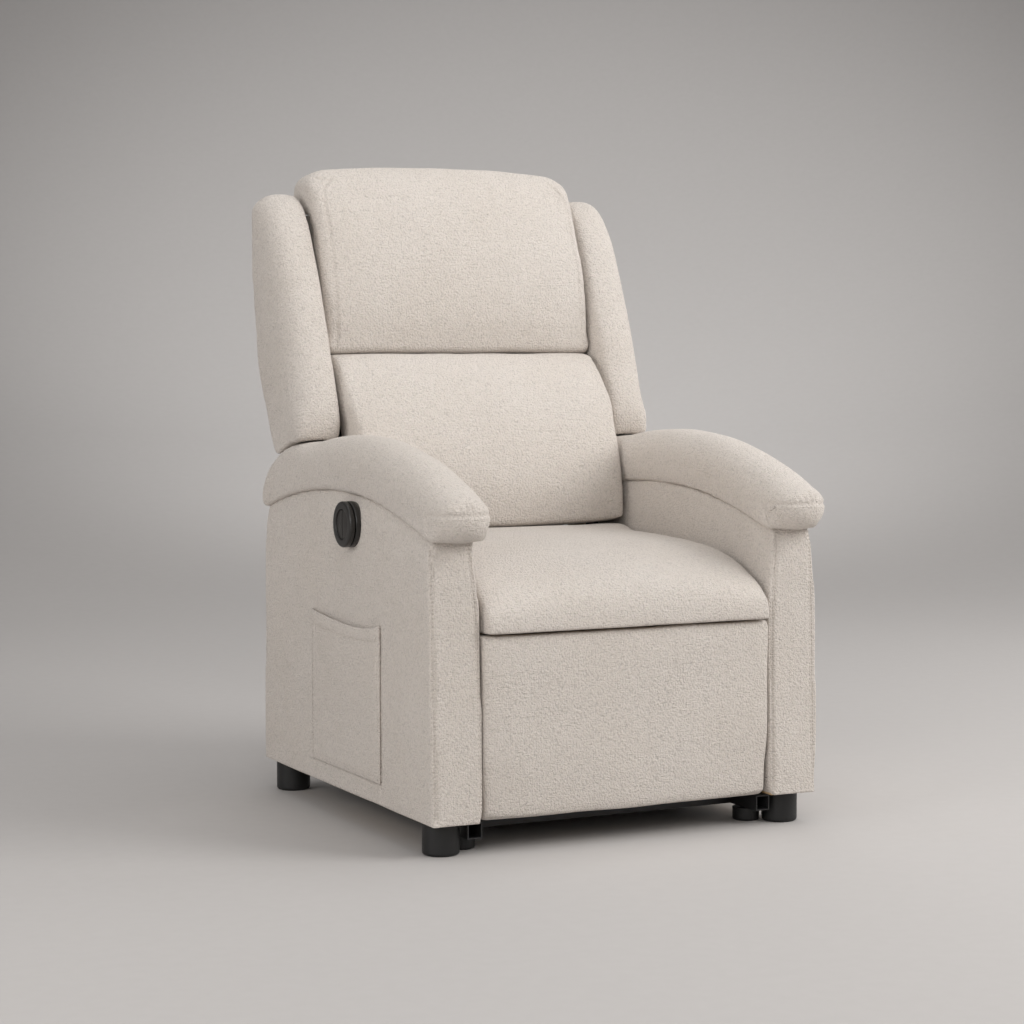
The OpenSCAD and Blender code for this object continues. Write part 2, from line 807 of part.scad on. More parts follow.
base_rails();
base_cross_tubes();
base_brackets();
base_glides();
base_pins();
lift_arms();
lift_cross_tube();
guide_links();
lift_motor();
lift_rod();
back_motor();
back_rod();
carriage_rails();
carriage_brackets();
carriage_cross_tubes();
mechanism_plates();
carriage_pins();
frame_bolts();
seat_cross_rails();
seat_side_rails();
seat_deck();
seat_springs();
seat_cushion();
side_frames();
left_side_cover();
right_side_cover();
left_arm_pad();
right_arm_pad();
side_pocket();
round_feet();
rear_panel();
switch_housing();
switch_bezel();
front_button();
rear_button();
control_box();
power_inlet();
recline_brackets();
recline_tube();
back_uprights();
back_cross_rails();
back_webbing();
lumbar_cushion();
head_cushion();
left_wing();
right_wing();
back_panel();
back_heel();
back_side_panels();
swing_links();
knee_rivets();
front_links();
bell_rivets();
rear_links();
torque_tube();
board_links();
footrest_brackets();
footrest_board();
footrest_pad();
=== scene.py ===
import json
import math

import bmesh
import bpy
import numpy as np
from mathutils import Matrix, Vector, kdtree, noise
from mathutils.bvhtree import BVHTree


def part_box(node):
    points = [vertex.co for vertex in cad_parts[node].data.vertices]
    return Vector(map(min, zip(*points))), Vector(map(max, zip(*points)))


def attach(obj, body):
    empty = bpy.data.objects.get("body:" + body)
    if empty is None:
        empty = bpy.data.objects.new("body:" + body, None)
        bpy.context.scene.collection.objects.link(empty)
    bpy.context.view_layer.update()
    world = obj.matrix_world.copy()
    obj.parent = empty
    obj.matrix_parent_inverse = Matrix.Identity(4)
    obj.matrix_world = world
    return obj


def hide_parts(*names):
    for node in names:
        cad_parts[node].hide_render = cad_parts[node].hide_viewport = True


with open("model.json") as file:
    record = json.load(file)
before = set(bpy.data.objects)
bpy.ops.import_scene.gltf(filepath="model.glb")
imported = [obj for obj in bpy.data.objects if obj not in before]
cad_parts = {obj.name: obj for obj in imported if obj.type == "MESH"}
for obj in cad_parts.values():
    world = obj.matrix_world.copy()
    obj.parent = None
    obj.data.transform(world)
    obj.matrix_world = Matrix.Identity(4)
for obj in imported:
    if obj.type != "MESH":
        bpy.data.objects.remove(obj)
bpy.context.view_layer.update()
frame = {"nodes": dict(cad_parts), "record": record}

# ------ frame values
# Outlines below are [depth, height] in millimetres behind the chair's front plane and above the
# floor, as the parts were designed. DEPTH0 is that front plane in the row frame.
MM = 0.001
BASE_RAIL_FRONT = 28
DEPTH0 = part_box("base_rails")[0].y - BASE_RAIL_FRONT * MM
SEAT_LO, SEAT_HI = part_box("seat_cushion")
COVER_LO, COVER_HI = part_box("right_side_cover")
PAD_LO, PAD_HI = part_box("right_arm_pad")
WING_LO, WING_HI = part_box("right_wing")
HEAD_LO, HEAD_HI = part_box("head_cushion")
LUMBAR_LO, LUMBAR_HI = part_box("lumbar_cushion")
FOOT_LO, FOOT_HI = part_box("footrest_pad")
POCKET_LO, POCKET_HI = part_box("side_pocket")
CHAIR, BACK, FOOTREST = "chair", "back", "footrest"
SIDES = (("left", -1), ("right", 1))
SIM_FRAMES = 20
STUFFED = 0.22
VOXEL = 0.0055
OUTLINE_STEP = 0.003
GROOVE_STEP = 0.0015


def at(x, depth, height):
    """Row-frame point from millimetres across, behind the front plane and up."""
    return Vector((x * MM, depth * MM + DEPTH0, height * MM))


def mirrored(sign, points):
    """Row-frame points from (across, depth, height) millimetres, on one side or the other."""
    return [at(sign * x, depth, height) for x, depth, height in points]


def span(sign, near, far):
    """The two x limits of a piece that lies from near to far on one side, lower one first."""
    return sorted((sign * near, sign * far))


# ------ mesh helpers
def place(name, data):
    obj = bpy.data.objects.new(name, data)
    bpy.context.scene.collection.objects.link(obj)
    return obj


def new_object(name, verts, faces):
    mesh = bpy.data.meshes.new(name)
    mesh.from_pydata([tuple(v) for v in verts], [], faces)
    mesh.update()
    return place(name, mesh)


def vectors(items, key):
    out = np.empty(len(items) * 3)
    items.foreach_get(key, out)
    return out.reshape(-1, 3)


def read(obj):
    return vectors(obj.data.vertices, "co")


def write(obj, co):
    obj.data.vertices.foreach_set("co", np.ascontiguousarray(co).ravel())
    obj.data.update()


def normals(obj):
    return vectors(obj.data.vertex_normals, "vector")


def nearest_in(points):
    tree = kdtree.KDTree(len(points))
    for i, p in enumerate(points):
        tree.insert(p, i)
    tree.balance()
    return tree


def modify(obj, kind, **settings):
    mod = obj.modifiers.new(kind.lower(), kind)
    for key, value in settings.items():
        setattr(mod, key, value)


def bake_modifiers(obj):
    deps = bpy.context.evaluated_depsgraph_get()
    mesh = bpy.data.meshes.new_from_object(obj.evaluated_get(deps))
    obj.modifiers.clear()
    old = obj.data
    obj.data = mesh
    bpy.data.meshes.remove(old)
    return obj


def shade_smooth(obj):
    obj.data.polygons.foreach_set("use_smooth", [True] * len(obj.data.polygons))


def face_outward(obj):
    bm = bmesh.new()
    bm.from_mesh(obj.data)
    bmesh.ops.recalc_face_normals(bm, faces=bm.faces)
    bm.to_mesh(obj.data)
    bm.free()
    return obj


def smoothstep(a, b, x):
    t = np.clip((x - a) / (b - a), 0, 1)
    return t * t * (3 - 2 * t)


def round_corners(points, rounds):
    """Chaikin corner cutting on a closed outline."""
    pts = np.array(points, float)
    for _ in range(rounds):
        nxt = np.roll(pts, -1, axis=0)
        pts = np.stack([0.75 * pts + 0.25 * nxt, 0.25 * pts + 0.75 * nxt], 1).reshape(-1, 2)
    return pts


def arc(centre, radius, a0, a1, count):
    """Points on a circle between two angles in degrees."""
    t = np.radians(np.linspace(a0, a1, count))
    return [(centre[0] + radius * math.cos(a), centre[1] + radius * math.sin(a)) for a in t]


def on_circle(centre, radius, depth):
    """The point of a circle's upper half at a depth."""
    return (depth, centre[1] + math.sqrt(radius ** 2 - (depth - centre[0]) ** 2))


def prism(name, outline, x0, x1):
    """Closed solid: an outline of [depth, height] millimetres, extruded from x0 to x1 metres."""
    bm = bmesh.new()
    rings = [[bm.verts.new((x, p[0] * MM + DEPTH0, p[1] * MM)) for p in outline] for x in (x0, x1)]
    count = len(outline)
    for i in range(count):
        j = (i + 1) % count
        bm.faces.new((rings[0][i], rings[0][j], rings[1][j], rings[1][i]))
    caps = [bm.faces.new(rings[0]), bm.faces.new(rings[1])]
    bmesh.ops.triangulate(bm, faces=caps)
    bmesh.ops.recalc_face_normals(bm, faces=bm.faces)
    mesh = bpy.data.meshes.new(name)
    bm.to_mesh(mesh)
    bm.free()
    return place(name, mesh)


def remesh(obj, voxel, iterations):
    """Voxel remesh followed by smoothing, which rounds the edges."""
    modify(obj, "REMESH", mode="VOXEL", voxel_size=voxel)
    modify(obj, "SMOOTH", factor=0.5, iterations=iterations)
    bake_modifiers(obj)


def relax(obj, iterations):
    modify(obj, "SMOOTH", factor=0.5, iterations=iterations)
    bake_modifiers(obj)


def relax_where(obj, iterations, weight):
    """Smooths a piece by a share that weight gives for each point."""
    firm = read(obj)
    relax(obj, iterations)
    w = weight(firm)[:, None]
    write(obj, firm * (1 - w) + read(obj) * w)


def subdivide(obj):
    modify(obj, "SUBSURF", levels=1, render_levels=1)
    bake_modifiers(obj)


def fit(obj, lo, hi):
    """Scales a piece so that its box is the given one."""
    co = read(obj)
    a, b = co.min(0), co.max(0)
    lo, hi = np.array(lo), np.array(hi)
    write(obj, lo + (co - a) / (b - a) * (hi - lo))


def pillow(obj, outline, radius, reach, share, skew):
    """Rounds a cushion across its width: the outline is drawn in towards both of its faces.
    share(y, z) says how much of it each point of the outline takes, skew how much each face does."""
    ring = np.array([(p[0] * MM + DEPTH0, p[1] * MM) for p in outline])
    nxt = np.roll(ring, -1, axis=0)
    turn = np.sign((ring[:, 0] * nxt[:, 1] - nxt[:, 0] * ring[:, 1]).sum())
    sides = []
    for a, b in zip(ring, nxt):
        count = max(2, int(np.linalg.norm(b - a) / OUTLINE_STEP))
        sides.append(a + (b - a) * np.linspace(0, 1, count, endpoint=False)[:, None])
    dense = np.concatenate(sides)
    along = np.roll(dense, -5, axis=0) - np.roll(dense, 5, axis=0)
    inward = np.stack([-along[:, 1], along[:, 0]], 1) * turn
    inward /= np.maximum(np.linalg.norm(inward, axis=1, keepdims=True), 1e-9)
    weight = np.array([float(share(y, z)) for y, z in dense])
    tree = nearest_in([(0, y, z) for y, z in dense])
    co = read(obj)
    lo, hi = co[:, 0].min(), co[:, 0].max()
    u = np.clip((2 * co[:, 0] - lo - hi) / (hi - lo), -1, 1)
    inset = radius * (1 - np.sqrt(1 - (0.985 * u) ** 2)) * np.where(u < 0, skew[0], skew[1])
    for i, (_, y, z) in enumerate(co):
        _, k, d = tree.find((0, y, z))
        fall = weight[k] * max(0.0, 1 - d / reach)
        co[i, 1:] += inward[k] * inset[i] * fall
    write(obj, co)


def cushion(name, outline, x0, x1, radius, reach, share, skew=(1.0, 1.0), voxel=VOXEL, smooth=3):
    """A remeshed prism with rounded faces, not yet stuffed."""
    obj = prism(name, outline, x0, x1)
    remesh(obj, voxel, smooth)
    pillow(obj, outline, radius, reach, share, skew)
    return obj


def tighten(obj, depth, axis=2, side=-1):
    """Draws the rounding of one edge of a piece outward, so that the edge is crisper."""
    co = read(obj)
    edge = co[:, axis].min() if side < 0 else co[:, axis].max()
    t = np.clip((edge - co[:, axis]) * side / depth, 0, 1)
    co[:, axis] = np.where(t < 1, edge - side * depth * t * t, co[:, axis])
    write(obj, co)


def widen(obj, share, z0, z1):
    """Widens a piece by a share of its width that sets in between two heights."""
    co = read(obj)
    co[:, 0] *= 1 + share * smoothstep(z0, z1, co[:, 2])
    write(obj, co)


def round_top_corners(obj, radius):
    """Rounds the two upper corners of a piece, as they are seen from the front."""
    co = read(obj)
    half, top = np.abs(co[:, 0]).max(), co[:, 2].max()
    u = np.clip((np.abs(co[:, 0]) - half + radius) / radius, 0, 1)
    v = np.clip((co[:, 2] - top + radius) / radius, 0, 1)
    co[:, 0] -= np.sign(co[:, 0]) * radius * u * (1 - np.sqrt(1 - v * v / 2))
    co[:, 2] -= radius * v * (1 - np.sqrt(1 - u * u / 2))
    write(obj, co)


def finish_piece(obj, body, slot, nodes=(), look=None):
    obj.data.materials.clear()
    obj.data.materials.append(look or BY_SLOT[slot])
    shade_smooth(obj)
    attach(obj, body)
    if nodes:
        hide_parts(*nodes)


def upholster(obj, body, nodes=()):
    finish_piece(obj, body, "fabric", nodes)


def puff_all(jobs):
    """Inflates closed cloth pieces by pressure, all of them in one run of the timeline.
    Each job is (object, pressure, farthest a point may move). The covers are stuffed firmly, so
    only part of the movement is kept: less of it near the top of a piece and none at its foot."""
    start = {}
    for obj, pressure, _ in jobs:
        start[obj.name] = read(obj)
        cloth = obj.modifiers.new("cloth", "CLOTH")
        s = cloth.settings
        s.quality = 4
        s.mass = 0.35
        s.tension_stiffness = s.compression_stiffness = 22
        s.shear_stiffness = 8
        s.bending_stiffness = 3
        s.use_pressure = True
        s.uniform_pressure_force = pressure
        s.effector_weights.gravity = 0
        cloth.collision_settings.use_collision = False
        cloth.point_cache.frame_start, cloth.point_cache.frame_end = 1, SIM_FRAMES
    scene = bpy.context.scene
    for f in range(1, SIM_FRAMES + 1):
        scene.frame_set(f)
    deps = bpy.context.evaluated_depsgraph_get()
    for obj, _, cap in jobs:
        was = start[obj.name]
        move = vectors(obj.evaluated_get(deps).data.vertices, "co") - was
        far = np.linalg.norm(move, axis=1, keepdims=True)
        move *= STUFFED * np.minimum(1, cap / np.maximum(far, 1e-9))
        z = was[:, 2]
        low, high = z.min(), z.max()
        move *= (smoothstep(low, low + 0.06, z) * smoothstep(high + 0.02, high - 0.03, z))[:, None]
        obj.modifiers.clear()
        write(obj, was + move)
    scene.frame_set(1)


def path_points(points, step):
    """A smooth curve through points (Catmull-Rom), resampled every step metres."""
    p = [np.array(q, float) for q in points]
    ext = [2 * p[0] - p[1]] + p + [2 * p[-1] - p[-2]]
    dense = []
    for a, b, c, d in zip(ext, ext[1:], ext[2:], ext[3:]):
        for t in np.linspace(0, 1, 40, endpoint=False):
            dense.append(0.5 * (2 * b + (c - a) * t + (2 * a - 5 * b + 4 * c - d) * t * t
                                + (3 * b - a - 3 * c + d) * t ** 3))
    dense = np.array(dense + [p[-1]])
    run = np.concatenate([[0], np.cumsum(np.linalg.norm(np.diff(dense, axis=0), axis=1))])
    count = max(2, int(run[-1] / step) + 1)
    want = np.linspace(0, run[-1], count)
    return np.stack([np.interp(want, run, dense[:, k]) for k in range(3)], 1)


def groove(obj, path, width, depth, lip):
    """Presses a seam into a piece along a path, with a raised lip either side."""
    pts = path_points(path, GROOVE_STEP)
    tree = nearest_in(pts)
    co, n = read(obj), normals(obj)
    reach = width * 3
    lo, hi = pts.min(0) - reach, pts.max(0) + reach
    near = np.nonzero(((co > lo) & (co < hi)).all(1))[0]
    ends = (pts[0], pts[-1])
    for i in near:
        _, _, d = tree.find(co[i])
        if d > reach:
            continue
        fade = min(1, min(np.linalg.norm(co[i] - e) for e in ends) / (2.5 * width))
        push = -depth * math.exp(-(d / width) ** 2) + lip * math.exp(-((d - 2 * width) / width) ** 2)
        co[i] += n[i] * push * (0.25 + 0.75 * fade)
    write(obj, co)


def soft_noise(obj, size, amount, seed):
    """Very slight unevenness, as wadding leaves under fabric."""
    co, n = read(obj), normals(obj)
    shift = Vector((seed * 3.1, seed * 1.7, seed * 2.3))
    h = np.array([noise.noise(Vector(p) / size + shift) for p in co])
    write(obj, co + n * (h * amount)[:, None])


def surface(obj):
    return BVHTree.FromObject(obj, bpy.context.evaluated_depsgraph_get())


def snap(tree, points, step):
    """A smooth curve through points, resampled every step metres and laid on a surface."""
    return [tree.find_nearest(Vector(p))[0] for p in path_points(points, step)]


def stitches(name, runs, host, body, pitch=0.0062, length=0.0044, radius=0.00055):
    """Thread stitches along runs of points, laid on the host's surface. Each run may be set off
    sideways by metres: (points, sideways)."""
    tree = surface(host)
    verts, faces = [], []
    sides = 6
    half = ((-1.0, 0.35, -0.9), (-0.7, 0.85, -0.2))
    profile = (*half, (0.0, 1.0, 0.25), *((-t, r, lift) for t, r, lift in reversed(half)))
    for points, aside in runs:
        pts = path_points(points, pitch)
        for a, b in zip(pts[:-1], pts[1:]):
            mid = Vector((a + b) / 2)
            hit, nor, _, _ = tree.find_nearest(mid)
            if hit is None:
                continue
            along = Vector(b - a)
            along = (along - nor * along.dot(nor)).normalized()
            across = nor.cross(along)
            if aside:
                hit, nor, _, _ = tree.find_nearest(hit + across * aside)
                along = (along - nor * along.dot(nor)).normalized()
                across = nor.cross(along)
            base = len(verts)
            for t, r, lift in profile:
                centre = hit + along * (t * length / 2) + nor * (radius * (0.35 + lift))
                for k in range(sides):
                    ang = 2 * math.pi * k / sides
                    verts.append(centre + (across * math.cos(ang) + nor * math.sin(ang)) * radius * r)
            rings = len(profile)
            for r in range(rings - 1):
                for k in range(sides):
                    k2 = (k + 1) % sides
                    faces.append((base + r * sides + k, base + r * sides + k2,
                                  base + (r + 1) * sides + k2, base + (r + 1) * sides + k))
            faces.append(tuple(base + k for k in reversed(range(sides))))
            faces.append(tuple(base + (rings - 1) * sides + k for k in range(sides)))
    finish_piece(new_object(name, verts, faces), body, "fabric", look=THREAD)


def lathe(name, profile, centre, axis, segments):
    """Turned ring: profile is a closed outline of (radius, along) in metres."""
    centre, axis = Vector(centre), Vector(axis).normalized()
    side = axis.orthogonal().normalized()
    other = axis.cross(side)
    verts, faces = [], []
    for r, h in profile:
        for k in range(segments):
            a = 2 * math.pi * k / segments
            verts.append(centre + axis * h + (side * math.cos(a) + other * math.sin(a)) * r)
    for p in range(len(profile)):
        q = (p + 1) % len(profile)
        for k in range(segments):
            j = (k + 1) % segments
            faces.append([ring * segments + m for ring, m in ((p, k), (p, j), (q, j), (q, k))])
    return face_outward(new_object(name, verts, faces))


def plate(name, outline, x0, x1, edge):
    """Thin panel from an outline, with bevelled edges."""
    obj = prism(name, outline, x0, x1)
    modify(obj, "BEVEL", width=edge, segments=3, limit_method="ANGLE", angle_limit=math.radians(50))
    return bake_modifiers(obj)


# ------ materials
def material(name):
    mat = bpy.data.materials.new(name)
    mat.use_nodes = True
    tree = mat.node_tree
    tree.nodes.clear()
    out = tree.nodes.new("ShaderNodeOutputMaterial")
    bsdf = tree.nodes.new("ShaderNodeBsdfPrincipled")
    tree.links.new(bsdf.outputs[0], out.inputs[0])
    return mat, tree, bsdf


def add(tree, kind, **settings):
    node = tree.nodes.new(kind)
    for key, value in settings.items():
        if key.startswith("in_"):
            node.inputs[key[3:].replace("_", " ")].default_value = value
        else:
            setattr(node, key, value)
    return node


def ramp(tree, source, stops):
    node = tree.nodes.new("ShaderNodeValToRGB")
    els = node.color_ramp.elements
    while len(els) < len(stops):
        els.new(0.5)
    for el, (pos, col) in zip(els, stops):
        el.position = pos
        el.color = (*col, 1)
    tree.links.new(source, node.inputs[0])
    return node.outputs[0]


def mix(tree, kind, factor, a, b):
    node = add(tree, "ShaderNodeMix", data_type="RGBA", blend_type=kind)
    node.inputs[0].default_value = factor
    tree.links.new(a, node.inputs[6])
    tree.links.new(b, node.inputs[7])
    return node.outputs[2]


def math_node(tree, op, a, b):
    node = add(tree, "ShaderNodeMath", operation=op)
    for value, socket in ((a, node.inputs[0]), (b, node.inputs[1])):
        if hasattr(value, "links"):
            tree.links.new(value, socket)
        else:
            socket.default_value = value
    return node.outputs[0]


def shade(tint, factor):
    return tuple(min(1, c * factor) for c in tint)


def grey(value):
    return (value, value, value)


def object_coords(tree, *textures):
    coord = tree.nodes.new("ShaderNodeTexCoord").outputs["Object"]
    for tex in textures:
        tree.links.new(coord, tex.inputs["Vector"])
    return coord


def tone_and_gloss(tree, bsdf, source, tones, glosses):
    """Colour and roughness from one texture: (position, colour) and (position, value) stops."""
    tree.links.new(ramp(tree, source, tones), bsdf.inputs["Base Color"])
    glosses = [(pos, grey(value)) for pos, value in glosses]
    tree.links.new(ramp(tree, source, glosses), bsdf.inputs["Roughness"])


def bump_from(tree, bsdf, height, strength, distance):
    bump = add(tree, "ShaderNodeBump", in_Strength=strength, in_Distance=distance)
    tree.links.new(height, bump.inputs["Height"])
    tree.links.new(bump.outputs[0], bsdf.inputs["Normal"])


def fabric(name, tint, loop=1.0, weave=1.0):
    """Looped chenille: nubs about 3 mm across over a fine cross weave, with soft colour drift."""
    mat, tree, bsdf = material(name)
    link = tree.links.new
    nub = add(tree, "ShaderNodeTexVoronoi", in_Scale=300.0, in_Randomness=1.0, feature="F1")
    warp = add(tree, "ShaderNodeTexNoise", in_Scale=260.0, in_Detail=2.0)
    fuzz = add(tree, "ShaderNodeTexNoise", in_Scale=620.0, in_Detail=3.0, in_Roughness=0.6)
    blotch = add(tree, "ShaderNodeTexNoise", in_Scale=95.0, in_Detail=3.0, in_Roughness=0.55)
    drift = add(tree, "ShaderNodeTexNoise", in_Scale=7.0, in_Detail=3.0)
    coord = object_coords(tree, warp, fuzz, blotch, drift)
    bend = add(tree, "ShaderNodeVectorMath", operation="MULTIPLY_ADD")
    bend.inputs[1].default_value = (0.0035, 0.0035, 0.0035)
    link(warp.outputs["Color"], bend.inputs[0])
    link(coord, bend.inputs[2])
    link(bend.outputs[0], nub.inputs["Vector"])
    rows = []
    for axis in ("X", "Y", "Z"):
        wave = add(tree, "ShaderNodeTexWave", wave_type="BANDS", bands_direction=axis, wave_profile="SIN",
                   in_Scale=105.0, in_Distortion=3.0, in_Detail=2.0, in_Detail_Scale=1.6)
        link(coord, wave.inputs["Vector"])
        rows.append(wave.outputs["Fac"])
    cross = math_node(tree, "ADD", math_node(tree, "ADD", rows[0], rows[1]), rows[2])
    cross = math_node(tree, "MULTIPLY", cross, 0.33)
    dark, light = shade(tint, 0.64), shade(tint, 1.12)
    base = ramp(tree, nub.outputs["Distance"], [(0.0, light), (0.55, tint), (1.0, dark)])
    speck = ramp(tree, fuzz.outputs["Fac"], [(0.32, shade(tint, 0.84)), (0.5, tint), (0.68, light)])
    colour = mix(tree, "MIX", 0.5, base, speck)
    large = ramp(tree, blotch.outputs["Fac"], [(0.3, (0.93, 0.925, 0.915)), (0.7, grey(1.0))])
    colour = mix(tree, "MULTIPLY", 0.75, colour, large)
    wide = ramp(tree, drift.outputs["Fac"], [(0.3, (0.965, 0.955, 0.94)), (0.7, grey(1.0))])
    colour = mix(tree, "MULTIPLY", 0.8, colour, wide)
    link(colour, bsdf.inputs["Base Color"])
    rough = ramp(tree, nub.outputs["Distance"], [(0.0, grey(0.86)), (1.0, grey(0.98))])
    link(rough, bsdf.inputs["Roughness"])
    bsdf.inputs["Sheen Weight"].default_value = 0.22
    bsdf.inputs["Sheen Roughness"].default_value = 0.55
    bsdf.inputs["Sheen Tint"].default_value = (1.0, 0.97, 0.93, 1)
    bsdf.inputs["Specular IOR Level"].default_value = 0.18
    hills = math_node(tree, "SUBTRACT", 1.0, nub.outputs["Distance"])
    h = math_node(tree, "MULTIPLY", hills, 0.9 * loop)
    h = math_node(tree, "ADD", h, math_node(tree, "MULTIPLY", fuzz.outputs["Fac"], 0.8 * loop))
    h = math_node(tree, "ADD", h, math_node(tree, "MULTIPLY", cross, 0.30 * weave))
    bump_from(tree, bsdf, h, 1.0, 0.0021)
    return mat


def plastic(name, tint, rough, grain):
    """Moulded plastic: fine spark-eroded grain, faint rub marks in the gloss."""
    mat, tree, bsdf = material(name)
    fine = add(tree, "ShaderNodeTexNoise", in_Scale=1900.0, in_Detail=2.0)
    rub = add(tree, "ShaderNodeTexNoise", in_Scale=38.0, in_Detail=6.0, in_Roughness=0.7)
    object_coords(tree, fine, rub)
    tones = [(0.3, shade(tint, 0.8)), (0.75, shade(tint, 1.35))]
    tone_and_gloss(tree, bsdf, rub.outputs["Fac"], tones, [(0.25, rough * 0.85), (0.8, rough * 1.3)])
    bsdf.inputs["Specular IOR Level"].default_value = 0.45
    bump_from(tree, bsdf, fine.outputs["Fac"], grain, 0.0003)
    return mat


def metal(name, tint, rough, metallic, peel, streak):
    """Steel: orange-peel powder coat or brushed zinc, depending on the scales given."""
    mat, tree, bsdf = material(name)
    skin = add(tree, "ShaderNodeTexNoise", in_Scale=peel, in_Detail=3.0)
    spots = add(tree, "ShaderNodeTexNoise", in_Scale=streak, in_Detail=5.0, in_Roughness=0.65)
    object_coords(tree, skin, spots)
    tones = [(0.3, shade(tint, 0.72)), (0.7, shade(tint, 1.25))]
    tone_and_gloss(tree, bsdf, spots.outputs["Fac"], tones, [(0.3, rough * 0.8), (0.75, rough * 1.35)])
    bsdf.inputs["Metallic"].default_value = metallic
    bump_from(tree, bsdf, skin.outputs["Fac"], 0.25, 0.0004)
    return mat


def wood(name, tint):
    """Sawn beech ply and pine: stretched growth rings with darker pores."""
    mat, tree, bsdf = material(name)
    link = tree.links.new
    stretch = add(tree, "ShaderNodeMapping", in_Scale=(6.0, 60.0, 60.0))
    object_coords(tree, stretch)
    rings = add(tree, "ShaderNodeTexNoise", in_Scale=1.6, in_Detail=6.0, in_Roughness=0.6)
    pores = add(tree, "ShaderNodeTexNoise", in_Scale=9.0, in_Detail=4.0)
    for tex in (rings, pores):
        link(stretch.outputs[0], tex.inputs["Vector"])
    tone = ramp(tree, rings.outputs["Fac"], [(0.3, shade(tint, 0.62)), (0.5, tint), (0.7, shade(tint, 1.2))])
    speck = ramp(tree, pores.outputs["Fac"], [(0.35, (0.78, 0.72, 0.66)), (0.5, grey(1))])
    link(mix(tree, "MULTIPLY", 0.8, tone, speck), bsdf.inputs["Base Color"])
    gloss = ramp(tree, rings.outputs["Fac"], [(0.3, grey(0.8)), (0.7, grey(0.62))])
    link(gloss, bsdf.inputs["Roughness"])
    bump_from(tree, bsdf, pores.outputs["Fac"], 0.35, 0.0005)
    return mat


def woven(name, tint):
    """Elastic webbing: tight ribs."""
    mat, tree, bsdf = material(name)
    ribs = add(tree, "ShaderNodeTexWave", wave_type="BANDS", bands_direction="X",
               in_Scale=160.0, in_Distortion=0.6)
    object_coords(tree, ribs)
    tones = [(0.2, shade(tint, 0.6)), (0.8, tint)]
    tone_and_gloss(tree, bsdf, ribs.outputs["Fac"], tones, [(0.2, 0.95), (0.8, 0.75)])
    bump_from(tree, bsdf, ribs.outputs["Fac"], 0.6, 0.0006)
    return mat


BY_SLOT = {
    "fabric": fabric("chenille", (0.735, 0.677, 0.625)),
    "black_plastic": plastic("black_plastic", grey(0.010), 0.45, 0.5),
    "control_plastic": plastic("control_plastic", (0.022, 0.0205, 0.019), 0.30, 0.12),
    "button_plastic": plastic("button_plastic", (0.028, 0.0255, 0.023), 0.36, 0.2),
    "black_steel": metal("black_steel", (0.020, 0.020, 0.021), 0.42, 0.0, 900.0, 60.0),
    "zinc_steel": metal("zinc_steel", (0.55, 0.56, 0.58), 0.32, 1.0, 1400.0, 240.0),
    "timber": wood("timber", (0.60, 0.43, 0.25)),
    "webbing": woven("webbing", (0.16, 0.15, 0.14)),
}
THREAD = fabric("thread", (0.62, 0.565, 0.505), loop=0.2, weave=1.4)
for part in frame["record"]["subparts"]:
    node = frame["nodes"][part["node"]]
    look = BY_SLOT[part["material_slot"]]
    if not node.data.materials:
        node.data.materials.append(look)
    for holder in node.material_slots:
        holder.material = look

# ------ camera, light, stage
CAMERA_AT = (-1.8802, -3.7457, 0.7959)
CAMERA_PITCH, CAMERA_YAW = 4.124, 26.397
LENS, SENSOR = 87.52, 36.0
cam_data = bpy.data.cameras.new("camera")
cam_data.lens, cam_data.sensor_width = LENS, SENSOR
camera = place("camera", cam_data)
camera.location = CAMERA_AT
camera.rotation_euler = (math.radians(90 - CAMERA_PITCH), 0, math.radians(-CAMERA_YAW))
bpy.context.scene.camera = camera


def light(name, kind, location, target, power):
    """A lamp that points from its place at a target. Returns its settings."""
    data = bpy.data.lights.new(name, kind)
    data.energy = power
    lamp = place(name, data)
    lamp.location = location
    lamp.rotation_mode = "QUATERNION"
    lamp.rotation_quaternion = (Vector(target) - Vector(location)).to_track_quat("-Z", "Y")
    return data


SOFT_WHITE = (1.0, 0.99, 0.98)
PANELS = (
    # name, place, target, size, power, colour
    ("key", (2.6, -2.6, 2.6), (0.0, 0.0, 0.55), (2.2, 2.2), 104, SOFT_WHITE),
    ("front_fill", (-2.4, -3.7, 2.3), (0.0, 0.0, 0.5), (2.6, 2.4), 50, SOFT_WHITE),
    ("left_fill", (-4.0, -0.9, 1.6), (0.0, 0.0, 0.4), (2.0, 2.0), 50, (1.0, 0.985, 0.97)),
    ("top", (0.1, -0.3, 3.4), (0.0, 0.1, 0.6), (2.4, 2.4), 30, SOFT_WHITE),
    ("right_fill", (3.8, -0.2, 1.9), (0.0, 0.0, 0.6), (2.0, 2.2), 44, (1.0, 0.99, 0.985)),
    ("rear_fill", (1.6, 3.6, 2.6), (0.0, 0.0, 0.6), (2.6, 2.0), 26, SOFT_WHITE),
)
for name, location, target, size, power, colour in PANELS:
    panel = light(name, "AREA", location, target, power)
    panel.shape = "RECTANGLE"
    panel.size, panel.size_y = size
    panel.color = colour
pool = light("wall_pool", "SPOT", (1.0, 1.6, 4.4), (2.8, 5.3, 1.2), 700)
pool.spot_size, pool.spot_blend = math.radians(68), 1.0
pool.shadow_soft_size = 0.5
world = bpy.data.worlds.new("studio")
bpy.context.scene.world = world
world.use_nodes = True
world.node_tree.nodes["Background"].inputs[0].default_value = (0.96, 0.97, 1.0, 1)
world.node_tree.nodes["Background"].inputs[1].default_value = 0.30
bpy.context.scene.view_settings.view_transform = "Standard"

